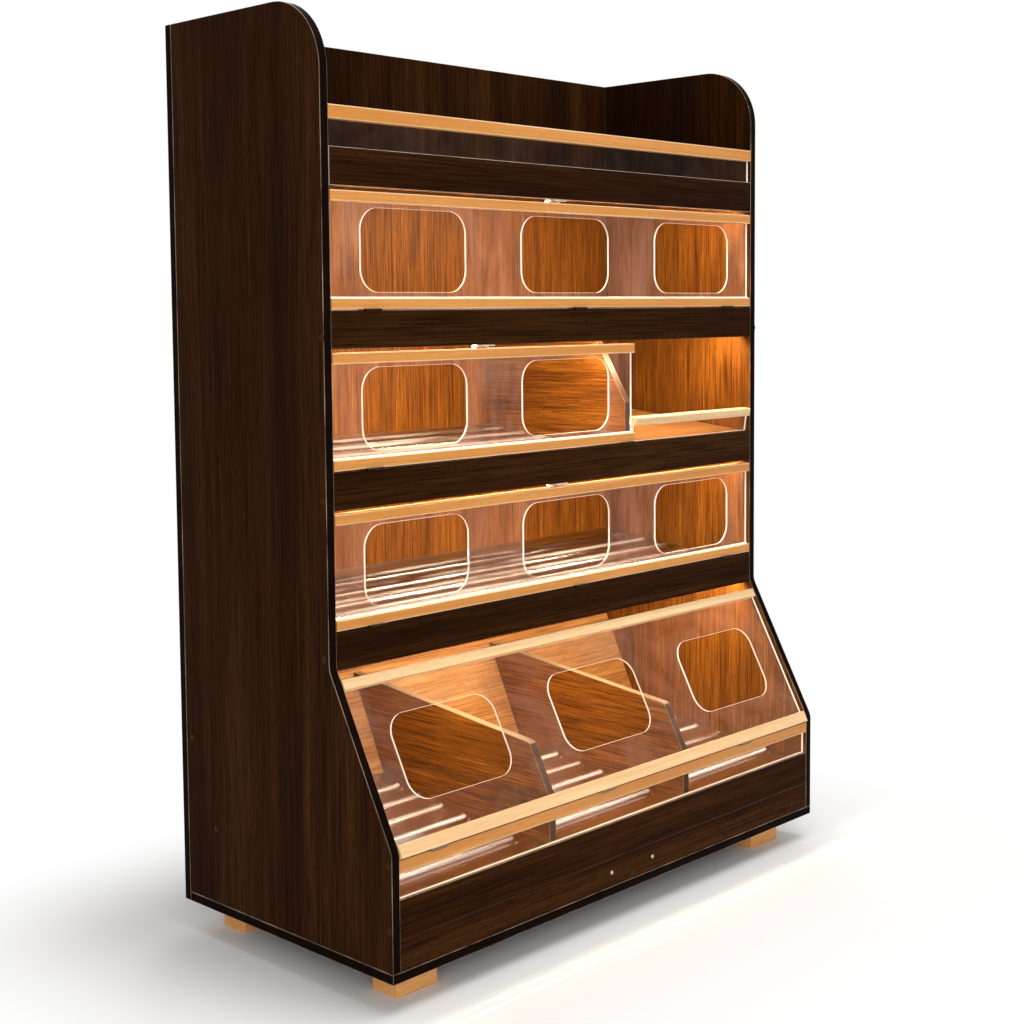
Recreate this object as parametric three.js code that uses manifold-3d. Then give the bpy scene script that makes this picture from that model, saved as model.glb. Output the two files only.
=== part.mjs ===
// Bakery bread rack: a dark board cabinet with three lit tiers behind clear bottom-hinged flaps,
// a slanted row of bins under them and an open trough on top. Millimetres, +Z up, front towards -Y.
import * as THREE from "three";
import { mergeVertices } from "three/addons/utils/BufferGeometryUtils.js";
import Module from "manifold-3d";

const wasm = await Module();
wasm.setup();

// Driving dimensions of the cabinet, measured from its left face, its lower front and the base's underside.
const width = 1300;
const depth = 620;
const bodyHeight = 1722;
const board = 18;
const gap = 0.3;
const upperFront = 160;
const lowerBend = 232;
const upperBend = 532;
const bendRadius = 40;
const topCornerRadius = 130;

// Block feet under the base board.
const footHeight = 58;
const footLength = 100;
const footDepth = 68;
const footFromSide = 57;
const footFromFront = 54;
const footFromBack = 49;

// Tiers: each has a valance board as its front lip, and a floor that rises to the back behind it.
const tierPitch = 288;
const tierCount = 3;
const topValanceTop = 1460;
const valanceHeight = 68;
const floorBelowLip = 29;
const floorSlope = THREE.MathUtils.degToRad(6.5);
const sectionCount = 3;

// Light strips that hold the clear panes, and the panes themselves.
const stripHeight = 20;
const stripDepth = 20;
const stripEdge = 2;
const fenceStripHeight = 25;
const fenceOpenHeight = 48;
const pane = 4;
const paneSetback = 8;
const grooveDepth = 10;
const paneEndGap = 1;

// Flaps.
const flapSideGap = 2;
const hingeGap = 2.4;
const flapHeight = 213;
const handHoleWidth = 265;
const handHoleHeight = 152;
const handHoleRadius = 42;
const handHoleMiddle = 109;
const shortFlapRight = 858;

// Slanted bin flap, measured along the slanted front from the lower bend.
const binFlapBottom = -8;
const binFlapTop = 319;
const binHandHoleHeight = 163;
const binStripHeight = 22;

// Butt hinges, shown by their pivot line and their half length.
const knuckleRadius = 2.6;
const knuckleSides = 8;
const knuckleBore = 1.5;
const pinRadius = 1.1;
const hingeHalf = 20;
const hingeMiddleHalf = 9.7;
const pivotProud = 2.9;
const leaf = 0.9;
const leafReach = 18;
const leafClear = 3.2;
const leafSunk = 0.5;
const tierHinges = [[114, 680, 1190], [114, 832], [114, 680, 1190]];
const binHinges = [114, 580, 1043];
const binFixedLeafReach = 14;
const binMovingLeafReach = 13;
const binTongueInset = 0.1;
const binTongueProud = 1;

// Bins under the tiers.
const plinthJoint = 75;
const plinthTop = 146;
const plinthSetback = 1;
const binFloorFront = 130;
const binBackFoot = 505;
const binBackTop = 396;
const railBottom = 194;
const railTop = 214;
const railFront = 0.5;
const binPivot = { y: -0.6, z: 219.5 };
const dividerFront = 23;
const dividerTopBack = { y: 493, z: 377 };
const dividerRadius = 12;
const dividerBehindFlap = 1.5;

// Open section of the middle tier.
const openDividerFront = 182;
const openDividerBend = 970;
const openDividerLean = 0.61;
const openFenceLeft = 864;
const openFenceLean = THREE.MathUtils.degToRad(8);
const openFenceFoot = 176;
const openFenceStripBase = 36;
const openFenceStripHeight = 18;
const insertBoard = 16;
const runnerWidth = 30;
const runnerJoin = 1;
const openFencePaneInset = 2;

// Ribbed trays on the floors.
const traySheet = 3;
const ribPitch = 66;
const ribHalfWidth = 18;
const ribHeight = 13;
const ribWall = 2.5;
const ribFromLeft = 16;
const ribFromRight = 24;
const trayEdgeGap = 3;
const tierTrayBackGap = 6;
const binTrayBackGap = 8;
const ribTrim = 1;

// Light bars in the corner behind each valance, and the flaps' magnetic catches.
const lightLeg = 16;
const lightWall = 1.5;
const diffuserOuter = 15.5;
const diffuserInner = 13.5;
const lightEndGap = 2;
const catchHalf = 30;
const catchPlaces = [620, 408, 620];
const catchSetback = 3;
const catchTab = 3;
const catchDrop = 24;
const catchBlock = 9;
const catchClear = 1.6;

// Lamp driver on the inner face of the back panel.
const driver = { left: 900, length: 180, bottom: 50, height: 60, thickness: 32, corner: 6 };

// Steps in the round stretches, and how closely corners are welded before a cut.
const panelArcSteps = 12;
const boardArcSteps = 4;
const stripArcSteps = 3;
const paneArcSteps = 5;
const coverArcSteps = 6;
const caseArcSteps = 2;
const ribEndSteps = 2;
const ribSides = 8;
const meetSteps = 40;
const weld = 1e-4;

// Values worked out from those above.
const innerLeft = board;
const innerRight = width - board;
const innerBack = depth - board;
const sectionWidth = (innerRight - innerLeft) / sectionCount;
const slantAngle = Math.atan2(upperFront, upperBend - lowerBend);
const slope = Math.tan(floorSlope);
const lipTop = (tier) => topValanceTop - tier * tierPitch;
const floorFront = upperFront + board;
const dividerMiddle = (index) => innerLeft + index * sectionWidth;
const sectionMiddle = (index) => innerLeft + (index + 0.5) * sectionWidth;
const frontReach = knuckleRadius - binPivot.y;

const finish = (color, roughness, metalness, opacity = 1) =>
  new THREE.MeshStandardMaterial({ color, roughness, metalness, opacity, transparent: opacity < 1 });
const darkBoard = finish(0x3a2417, 0.45, 0);
const insideBoard = finish(0x8a5528, 0.5, 0);
const lightWood = finish(0xd9a566, 0.55, 0);
const clearSheet = finish(0xf2dfd2, 0.05, 0, 0.3);
const clearTray = finish(0xf4efe8, 0.12, 0, 0.45);
const aluminium = finish(0xb9babc, 0.4, 1);
const milkySheet = finish(0xfff1d8, 0.5, 0);
const whitePlastic = finish(0xe9e4da, 0.45, 0);
const greyPlastic = finish(0x6f7276, 0.6, 0);

// The rack stands on z = 0, centred over its own box; "cabinet" keeps the driving dimensions' frame.
const rack = new THREE.Group();
const cabinet = new THREE.Group();
cabinet.position.set(-width / 2, -(depth - frontReach) / 2, footHeight);
rack.add(cabinet);

function place(name, geometry, material, parent = cabinet) {
  const mesh = new THREE.Mesh(geometry, material);
  mesh.name = name;
  parent.add(mesh);
}

// Closed outline through [u, v, radius] corners; a corner with a radius is rounded by an arc.
function outline(corners, path = new THREE.Shape()) {
  const point = (index) => new THREE.Vector2(...corners.at(index % corners.length).slice(0, 2));
  corners.forEach(([u, v, radius = 0], index) => {
    if (radius === 0) {
      if (index === 0) path.moveTo(u, v);
      else path.lineTo(u, v);
      return;
    }
    const corner = point(index);
    const back = point(index - 1).sub(corner).normalize();
    const ahead = point(index + 1).sub(corner).normalize();
    const half = Math.acos(back.dot(ahead)) / 2;
    const reach = radius / Math.tan(half);
    const toCentre = back.clone().add(ahead).setLength(radius / Math.sin(half));
    const centre = corner.clone().add(toCentre);
    const start = corner.clone().addScaledVector(back, reach).sub(centre);
    const end = corner.clone().addScaledVector(ahead, reach).sub(centre);
    path.absarc(centre.x, centre.y, radius, start.angle(), end.angle(), back.cross(ahead) > 0);
  });
  return path;
}

function rectangle(left, bottom, right, top, radius = 0, path = new THREE.Shape()) {
  return outline([[left, bottom, radius], [right, bottom, radius], [right, top, radius],
    [left, top, radius]], path);
}

// A (y, z) outline drawn out along X, an (x, z) outline along Y, and an (x, y) outline along Z.
function extrude(shape, length, curveSegments) {
  return new THREE.ExtrudeGeometry(shape, { depth: length, bevelEnabled: false, curveSegments });
}

const axisX = new THREE.Vector3(1, 0, 0);
const axisY = new THREE.Vector3(0, 1, 0);
const axisZ = new THREE.Vector3(0, 0, 1);

function alongX(shape, left, right, curveSegments = boardArcSteps) {
  const turn = new THREE.Matrix4().makeBasis(axisY, axisZ, axisX);
  return extrude(shape, right - left, curveSegments).applyMatrix4(turn).translate(left, 0, 0);
}

function alongY(shape, front, back, curveSegments = paneArcSteps) {
  const turn = new THREE.Matrix4().makeBasis(axisX, axisZ, axisY.clone().negate());
  return extrude(shape, back - front, curveSegments).applyMatrix4(turn).translate(0, back, 0);
}

function alongZ(shape, bottom, top, curveSegments = stripArcSteps) {
  return extrude(shape, top - bottom, curveSegments).translate(0, 0, bottom);
}

// Geometry to solid and back, for the few pieces that are joined or cut.
function solid(geometry) {
  const bare = geometry.clone();
  bare.deleteAttribute("normal");
  bare.deleteAttribute("uv");
  const merged = mergeVertices(bare, weld);
  const corners = merged.index.array;
  const triangles = [];
  for (let i = 0; i < corners.length; i += 3) {
    const [a, b, c] = corners.slice(i, i + 3);
    if (a !== b && b !== c && c !== a) triangles.push(a, b, c);
  }
  return new wasm.Manifold(new wasm.Mesh({
    numProp: 3,
    vertProperties: new Float32Array(merged.attributes.position.array),
    triVerts: new Uint32Array(triangles),
  }));
}

function geometryOf(body) {
  const mesh = body.getMesh();
  const geometry = new THREE.BufferGeometry();
  geometry.setAttribute("position", new THREE.BufferAttribute(mesh.vertProperties, 3));
  geometry.setIndex(new THREE.BufferAttribute(mesh.triVerts, 1));
  const flat = geometry.toNonIndexed();
  flat.computeVertexNormals();
  return flat;
}

function joined(geometries) {
  return geometryOf(geometries.map(solid).reduce((whole, next) => whole.add(next)));
}

// Side panel: slanted over the bins, upright above them, with a rounded top front corner.
function sidePanel(left) {
  const profile = outline([
    [0, board + gap],
    [innerBack - gap, board + gap],
    [innerBack - gap, bodyHeight],
    [upperFront, bodyHeight, topCornerRadius],
    [upperFront, upperBend, bendRadius],
    [0, lowerBend, bendRadius],
  ]);
  return alongX(profile, left, left + board, panelArcSteps);
}

place("left_side_panel", sidePanel(0), darkBoard);
place("right_side_panel", sidePanel(innerRight), darkBoard);
place("back_panel", alongY(rectangle(0, 0, width, bodyHeight), innerBack, depth), darkBoard);
place("base_board", alongX(rectangle(0, 0, innerBack - gap, board), 0, width), darkBoard);

// Four block feet, set in from the base's edges.
for (const [side, left] of [["left", footFromSide], ["right", width - footFromSide - footLength]]) {
  for (const [end, front] of [["front", footFromFront], ["rear", depth - footFromBack - footDepth]]) {
    const block = rectangle(left, front, left + footLength, front + footDepth, stripEdge);
    place(`foot_${end}_${side}`, alongZ(block, -footHeight, -gap), lightWood);
  }
}

// Boards that run between the side panels.
const spanLeft = innerLeft + gap;
const spanRight = innerRight - gap;
function spanBoard(front, bottom, back, top) {
  return alongX(rectangle(front, bottom, back, top), spanLeft, spanRight);
}

const plinthBack = plinthSetback + board;
place("plinth_lower_board", spanBoard(plinthSetback, board + gap, plinthBack, plinthJoint), darkBoard);
place("plinth_upper_board", spanBoard(plinthSetback, plinthJoint + gap, plinthBack, plinthTop), darkBoard);

const topShelfTop = topValanceTop - floorBelowLip;
place("top_shelf", spanBoard(floorFront + gap, topShelfTop - board, innerBack - gap, topShelfTop), insideBoard);

// A board whose upper face rises from (front, z) to the back wall.
function slopedBoard(front, z, thickness = board, left = spanLeft, right = spanRight) {
  const back = innerBack - gap;
  const rise = (back - front) * slope;
  return alongX(outline([[front, z - thickness], [back, z + rise - thickness], [back, z + rise], [front, z]]),
    left, right);
}

const tierFloorZ = (tier, y) => lipTop(tier) - floorBelowLip + (y - floorFront) * slope;
for (let tier = 1; tier <= tierCount; tier += 1) {
  const front = floorFront + gap;
  place(`tier_${tier}_floor`, slopedBoard(front, tierFloorZ(tier, front)), insideBoard);
}

const binFloorZ = (y) => binFloorFront + (y - plinthBack) * slope;
place("bin_floor", slopedBoard(plinthBack + gap, binFloorZ(plinthBack + gap)), insideBoard);

// Bin back board: leans back from the bin floor to the back panel.
const binBackFootZ = binFloorZ(binBackFoot) + gap;
const binBackEnd = innerBack - gap;
const binBackLean = new THREE.Vector2(binBackEnd - binBackFoot, binBackTop - binBackFootZ).normalize();
const binBackFaceY = (z) => binBackFoot + ((z - binBackFootZ) * binBackLean.x) / binBackLean.y;
const binBackRear = board / binBackLean.y;
const binBackRearFoot = (binBackFoot + binBackRear - (slope * binBackFoot * binBackLean.x) / binBackLean.y)
  / (1 - (slope * binBackLean.x) / binBackLean.y);
const binBackRearTop = binBackTop - (binBackRear * binBackLean.y) / binBackLean.x;
place("bin_back_board", alongX(outline([
  [binBackFoot, binBackFootZ],
  [binBackRearFoot, binFloorZ(binBackRearFoot) + gap],
  [binBackEnd, binBackRearTop],
  [binBackEnd, binBackTop],
]), spanLeft, spanRight), insideBoard);

// Bin dividers: front edge along the slanted flap, top edge rising to the back, a rounded nose between.
const slantLineY = stripDepth + dividerBehindFlap;
const slantPoint = (inward, up) => [
  inward * Math.cos(slantAngle) + up * Math.sin(slantAngle),
  lowerBend - inward * Math.sin(slantAngle) + up * Math.cos(slantAngle),
];
const dividerTopZ = (y) => dividerTopBack.z + (y - dividerTopBack.y) * slope;
function meet(zOfY, yOfZ, startY) {
  let y = startY;
  for (let i = 0; i < meetSteps; i += 1) y = yOfZ(zOfY(y));
  return [y, zOfY(y)];
}
const slantYofZ = (z) => {
  const [footY, footZ] = slantPoint(slantLineY, 0);
  return footY + (z - footZ) * Math.tan(slantAngle);
};
const slantZofY = (y) => {
  const [footY, footZ] = slantPoint(slantLineY, 0);
  return footZ + (y - footY) / Math.tan(slantAngle);
};
const binBackClear = gap / binBackLean.y;
const dividerNose = meet(dividerTopZ, slantYofZ, dividerFront);
const dividerHeel = meet(dividerTopZ, (z) => binBackFaceY(z) - binBackClear, binBackEnd);
const dividerBackFoot = binBackFoot - binBackClear;
const binDivider = outline([
  [dividerFront, binFloorZ(dividerFront) + gap],
  [dividerBackFoot, binFloorZ(dividerBackFoot) + gap],
  dividerHeel,
  [...dividerNose, dividerRadius],
  [dividerFront, slantZofY(dividerFront)],
]);
[["left", 1], ["right", 2]].forEach(([side, index]) => {
  const left = dividerMiddle(index) - board / 2;
  place(`bin_divider_${side}`, alongX(binDivider, left, left + board), insideBoard);
});

// Middle tier's divider: its front edge leans back above the flap's reach, up to the floor overhead.
const openTier = 2;
const openDividerLeft = dividerMiddle(2) - board / 2;
const openDividerRight = openDividerLeft + board;
const overheadZ = (y) => tierFloorZ(openTier - 1, y) - board - gap;
const openDividerTop = meet(overheadZ, (z) => openDividerFront + (z - openDividerBend) * openDividerLean,
  openDividerFront);
place("tier_2_divider", alongX(outline([
  [openDividerFront, tierFloorZ(openTier, openDividerFront) + gap],
  [innerBack - gap, tierFloorZ(openTier, innerBack) + gap],
  [innerBack - gap, overheadZ(innerBack - gap)],
  openDividerTop,
  [openDividerFront, openDividerBend, dividerRadius],
]), openDividerLeft, openDividerRight), insideBoard);

// A sloped group whose local z = 0 lies on a floor board's upper face.
function onFloor(y, z) {
  const group = new THREE.Group();
  group.position.set(0, y, z);
  group.rotation.x = floorSlope;
  cabinet.add(group);
  return group;
}

// False floor of the open section: a board on two runners, level with the valance's top edge.
const insertLeft = openDividerRight + gap;
const insertFront = floorFront + gap;
const insertUnder = lipTop(openTier) - insertBoard + runnerJoin;
const runner = (left) => slopedBoard(insertFront, insertUnder, floorBelowLip - insertBoard + runnerJoin - gap,
  left, left + runnerWidth);
place("open_section_floor", joined([
  slopedBoard(insertFront, lipTop(openTier), insertBoard, insertLeft, spanRight),
  runner(insertLeft + runnerWidth),
  runner(spanRight - 2 * runnerWidth),
]), insideBoard);

// Strips: a square section with softened corners and a groove for the pane.
function stripProfile(front, bottom, height, grooveUp) {
  const back = front + stripDepth;
  const top = bottom + height;
  const near = front + paneSetback - gap;
  const far = front + paneSetback + pane + gap;
  if (grooveUp) {
    const floor = top - grooveDepth;
    return outline([[front, bottom, stripEdge], [back, bottom, stripEdge], [back, top, stripEdge],
      [far, top], [far, floor], [near, floor], [near, top], [front, top, stripEdge]]);
  }
  const roof = bottom + grooveDepth;
  return outline([[front, bottom, stripEdge], [near, bottom], [near, roof], [far, roof], [far, bottom],
    [back, bottom, stripEdge], [back, top, stripEdge], [front, top, stripEdge]]);
}

// Pane between two strips, with a rounded hand hole in the middle of each section.
function paneSheet(left, bottom, right, top, front, holes, holeMiddle, holeHeight) {
  const sheet = rectangle(left, bottom, right, top);
  for (let index = 0; index < holes; index += 1) {
    const middle = sectionMiddle(index);
    sheet.holes.push(rectangle(middle - handHoleWidth / 2, holeMiddle - holeHeight / 2,
      middle + handHoleWidth / 2, holeMiddle + holeHeight / 2, handHoleRadius, new THREE.Path()));
  }
  return alongY(sheet, front, front + pane);
}

// Butt hinge leaves, about a pivot line at (y, z). The plate lies on the wood, the tongue reaches the knuckle.
function knuckle(left, right, outer, inner, y, z) {
  const ring = inner === 0
    ? [[0, 0], [outer, 0], [outer, right - left], [0, right - left]]
    : [[inner, 0], [outer, 0], [outer, right - left], [inner, right - left], [inner, 0]];
  const turned = new THREE.LatheGeometry(ring.map(([r, h]) => new THREE.Vector2(r, h)), knuckleSides);
  return turned.rotateZ(-Math.PI / 2).translate(left, y, z);
}

function leafBox([y0, z0, y1, z1], left, right) {
  return alongX(rectangle(y0, z0, y1, z1), left, right);
}

function movingLeaf(middle, pivot, plate, tongue) {
  return [
    leafBox(plate, middle - hingeHalf, middle + hingeHalf),
    leafBox(tongue, middle - hingeMiddleHalf, middle + hingeMiddleHalf),
    knuckle(middle - hingeMiddleHalf, middle + hingeMiddleHalf, knuckleRadius, knuckleBore, pivot.y, pivot.z),
  ];
}

function fixedLeaf(middle, pivot, plate, tongue) {
  const inner = hingeMiddleHalf + gap;
  const ends = [[middle - hingeHalf, middle - inner], [middle + inner, middle + hingeHalf]];
  return [
    leafBox(plate, middle - hingeHalf, middle + hingeHalf),
    knuckle(middle - hingeHalf, middle + hingeHalf, pinRadius, 0, pivot.y, pivot.z),
    ...ends.flatMap(([left, right]) => [
      leafBox(tongue, left, right),
      knuckle(left, right, knuckleRadius, 0, pivot.y, pivot.z),
    ]),
  ];
}

// Valances. The lower three carry the fixed leaves of the flaps above them, the top one the trough's pane.
const plainValance = (tier) =>
  rectangle(upperFront, lipTop(tier) - valanceHeight, floorFront, lipTop(tier));
const nearGroove = upperFront + paneSetback - gap;
const farGroove = upperFront + paneSetback + pane + gap;
place("valance_1", alongX(outline([
  [upperFront, lipTop(0) - valanceHeight],
  [floorFront, lipTop(0) - valanceHeight],
  [floorFront, lipTop(0)],
  [farGroove, lipTop(0)],
  [farGroove, lipTop(0) - grooveDepth],
  [nearGroove, lipTop(0) - grooveDepth],
  [nearGroove, lipTop(0)],
  [upperFront, lipTop(0)],
]), spanLeft, spanRight), darkBoard);

for (let tier = 1; tier <= tierCount; tier += 1) {
  const lip = lipTop(tier);
  const pivot = { y: upperFront - pivotProud, z: lip + hingeGap / 2 };
  const plateFront = pivot.y + leafClear;
  const plateBack = pivot.y + leafReach;
  const tongueFront = pivot.y + knuckleBore + gap;
  const fixed = tierHinges[tier - 1].flatMap((middle) => fixedLeaf(middle, pivot,
    [plateFront, lip - leafSunk, plateBack, lip + leaf],
    [tongueFront, lip, plateFront + gap, lip + leaf]));
  place(`valance_${tier + 1}`, joined([alongX(plainValance(tier), spanLeft, spanRight), ...fixed]), darkBoard);

  const left = innerLeft + flapSideGap;
  const right = tier === openTier ? shortFlapRight : innerRight - flapSideGap;
  const bottom = lip + hingeGap;
  const top = lip + flapHeight;
  const moving = tierHinges[tier - 1].flatMap((middle) => movingLeaf(middle, pivot,
    [plateFront, bottom - leaf, plateBack, bottom + leafSunk],
    [tongueFront, bottom - leaf, plateFront + gap, bottom]));
  const bottomStrip = alongX(stripProfile(upperFront, bottom, stripHeight, true), left, right, stripArcSteps);
  const topStrip = alongX(stripProfile(upperFront, top - stripHeight, stripHeight, false), left, right,
    stripArcSteps);
  place(`tier_${tier}_flap_bottom_strip`, joined([bottomStrip, ...moving]), lightWood);
  place(`tier_${tier}_flap_top_strip`, topStrip, lightWood);
  place(`tier_${tier}_flap_pane`, paneSheet(left + paneEndGap, bottom + stripHeight - grooveDepth + gap,
    right - paneEndGap, top - stripHeight + grooveDepth - gap, upperFront + paneSetback,
    tier === openTier ? 2 : sectionCount, lip + handHoleMiddle, handHoleHeight), clearSheet);

  // Magnetic catch under the valance above: a tab on the board's underside and a block behind the strip.
  const under = lip + tierPitch - valanceHeight;
  const magnetFront = upperFront + stripDepth + catchClear;
  const tabFront = upperFront + catchSetback;
  place(`tier_${tier}_catch`, alongX(outline([
    [tabFront, under - catchTab],
    [magnetFront, under - catchTab],
    [magnetFront, under - catchDrop],
    [magnetFront + catchBlock, under - catchDrop],
    [magnetFront + catchBlock, under - gap],
    [tabFront, under - gap],
  ]), catchPlaces[tier - 1] - catchHalf, catchPlaces[tier - 1] + catchHalf), whitePlastic);
}

// Light bars: a corner channel behind each valance with a curved milky cover.
for (let row = 1; row <= tierCount + 1; row += 1) {
  const cornerY = floorFront + gap;
  const cornerZ = lipTop(row - 1) - floorBelowLip - board - gap;
  place(`light_channel_${row}`, alongX(outline([
    [cornerY, cornerZ - lightLeg],
    [cornerY + lightWall, cornerZ - lightLeg],
    [cornerY + lightWall, cornerZ - lightWall],
    [cornerY + lightLeg, cornerZ - lightWall],
    [cornerY + lightLeg, cornerZ],
    [cornerY, cornerZ],
  ]), spanLeft + lightEndGap, spanRight - lightEndGap), aluminium);
  const clearAngle = Math.asin((lightWall + gap) / diffuserInner);
  const cover = new THREE.Shape();
  cover.absarc(cornerY, cornerZ, diffuserOuter, clearAngle - Math.PI / 2, -clearAngle, false);
  cover.absarc(cornerY, cornerZ, diffuserInner, -clearAngle, clearAngle - Math.PI / 2, true);
  place(`light_cover_${row}`, alongX(cover, spanLeft + lightEndGap, spanRight - lightEndGap,
    coverArcSteps), milkySheet);
}

// Trough fence on the top valance.
const fenceStripBottom = lipTop(0) + fenceOpenHeight;
const fencePane = rectangle(spanLeft, lipTop(0) - grooveDepth + gap, spanRight,
  fenceStripBottom + grooveDepth - gap);
const fencePaneFront = upperFront + paneSetback;
place("trough_fence_pane", alongY(fencePane, fencePaneFront, fencePaneFront + pane), clearSheet);
place("trough_fence_strip", alongX(stripProfile(upperFront, fenceStripBottom, fenceStripHeight, false),
  spanLeft, spanRight, stripArcSteps), lightWood);

// Low fence of the open section, leaning a little to the front.
const openFence = new THREE.Group();
openFence.position.set(0, openFenceFoot, lipTop(openTier) + gap);
openFence.rotation.x = openFenceLean;
cabinet.add(openFence);
const openStripFront = -paneSetback - pane / 2;
place("open_section_fence_pane", alongY(rectangle(openFenceLeft + openFencePaneInset, 2 * gap, spanRight,
  openFenceStripBase + grooveDepth - gap), -pane / 2, pane / 2), clearSheet, openFence);
place("open_section_fence_strip", alongX(stripProfile(openStripFront, openFenceStripBase,
  openFenceStripHeight, false), openFenceLeft, spanRight, stripArcSteps), lightWood, openFence);

// Bin front: a rail with the fixed hinge leaves, and the clear window under it.
const binFixed = binHinges.flatMap((middle) => fixedLeaf(middle, binPivot,
  [binPivot.y + knuckleRadius, railTop - leafSunk, binPivot.y + binFixedLeafReach, railTop + leaf],
  [binPivot.y + pinRadius + binTongueInset, railTop - leafSunk, binPivot.y + knuckleRadius, binPivot.z]));
const railProfile = stripProfile(railFront, railBottom, railTop - railBottom, false);
place("bin_rail", joined([alongX(railProfile, spanLeft, spanRight, stripArcSteps), ...binFixed]), lightWood);
const windowFront = railFront + paneSetback;
place("bin_window", alongY(rectangle(spanLeft, plinthTop + gap, spanRight, railBottom + grooveDepth - gap),
  windowFront, windowFront + pane), clearSheet);

// Bin flap, in a group whose z runs up the slanted front and whose y runs inward.
const slant = new THREE.Group();
slant.position.set(0, 0, lowerBend);
slant.rotation.x = -slantAngle;
cabinet.add(slant);
const slantPivot = {
  y: binPivot.y * Math.cos(slantAngle) - (binPivot.z - lowerBend) * Math.sin(slantAngle),
  z: binPivot.y * Math.sin(slantAngle) + (binPivot.z - lowerBend) * Math.cos(slantAngle),
};
const binLeft = innerLeft + flapSideGap;
const binRight = innerRight - flapSideGap;
const binMoving = binHinges.flatMap((middle) => movingLeaf(middle, slantPivot,
  [slantPivot.y + leafClear, binFlapBottom - leaf, slantPivot.y + binMovingLeafReach, binFlapBottom + leafSunk],
  [slantPivot.y - binTongueProud, slantPivot.z + knuckleBore + gap, slantPivot.y + leafClear + gap,
    binFlapBottom]));
place("bin_flap_bottom_strip", joined([
  alongX(stripProfile(0, binFlapBottom, binStripHeight, true), binLeft, binRight, stripArcSteps),
  ...binMoving,
]), lightWood, slant);
place("bin_flap_top_strip", alongX(stripProfile(0, binFlapTop - stripHeight, stripHeight, false),
  binLeft, binRight, stripArcSteps), lightWood, slant);
const binPaneBottom = binFlapBottom + binStripHeight;
const binPaneTop = binFlapTop - stripHeight;
place("bin_flap_pane", paneSheet(binLeft + paneEndGap, binPaneBottom - grooveDepth + gap,
  binRight - paneEndGap, binPaneTop + grooveDepth - gap, paneSetback, sectionCount,
  (binPaneBottom + binPaneTop) / 2, binHandHoleHeight), clearSheet, slant);

// Ribbed tray: a thin clear sheet with long hollow round-ended ribs pressed up across it.
function ribbedTray(left, right, front, back) {
  const ribs = Math.floor((back - front - ribHalfWidth) / ribPitch);
  const first = (front + back - (ribs - 1) * ribPitch) / 2;
  const ribLeft = left + ribFromLeft;
  const ribRight = right - ribFromRight;
  const pill = (halfWidth, height, y) => {
    const straight = ribRight - ribLeft - 2 * ribHalfWidth;
    const capsule = new THREE.CapsuleGeometry(halfWidth, straight, ribEndSteps, ribSides);
    return capsule.rotateZ(Math.PI / 2).scale(1, 1, height / halfWidth)
      .translate((ribLeft + ribRight) / 2, y, gap);
  };
  let sheet = solid(alongX(rectangle(front, gap, back, gap + traySheet), left, right));
  const halfSpace = solid(alongX(rectangle(front - ribTrim, gap, back + ribTrim, gap + 2 * ribHeight),
    left, right));
  for (let rib = 0; rib < ribs; rib += 1) {
    const y = first + rib * ribPitch;
    sheet = sheet.add(solid(pill(ribHalfWidth, ribHeight, y)).intersect(halfSpace));
    sheet = sheet.subtract(solid(pill(ribHalfWidth - ribWall, ribHeight - ribWall, y)));
  }
  return geometryOf(sheet);
}

const tierFloorRun = (innerBack - floorFront) / Math.cos(floorSlope);
const tierTrayBack = tierFloorRun - tierTrayBackGap;
for (let tier = 1; tier <= tierCount; tier += 1) {
  const right = tier === openTier ? openDividerLeft : innerRight;
  place(`tier_${tier}_tray`, ribbedTray(innerLeft + trayEdgeGap, right - trayEdgeGap, trayEdgeGap,
    tierTrayBack), clearTray, onFloor(floorFront, tierFloorZ(tier, floorFront)));
}

const binTrayBack = (binBackFoot - plinthBack) / Math.cos(floorSlope) - binTrayBackGap;
["left", "middle", "right"].forEach((name, index) => {
  const left = index === 0 ? innerLeft : dividerMiddle(index) + board / 2;
  const right = index === 2 ? innerRight : dividerMiddle(index + 1) - board / 2;
  place(`bin_tray_${name}`, ribbedTray(left + trayEdgeGap, right - trayEdgeGap, trayEdgeGap,
    binTrayBack), clearTray, onFloor(plinthBack, binFloorZ(plinthBack)));
});

// Lamp driver, out of sight behind the bins.
const driverBack = innerBack - gap;
const driverCase = rectangle(driver.left, driver.bottom, driver.left + driver.length,
  driver.bottom + driver.height, driver.corner);
place("lamp_driver", alongY(driverCase, driverBack - driver.thickness, driverBack, caseArcSteps), greyPlastic);

export default rack;
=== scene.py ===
from math import asin, atan2, cos, hypot, pi, radians, sin, sqrt, tan

import bmesh
import bpy
from mathutils import Matrix, Vector


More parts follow.
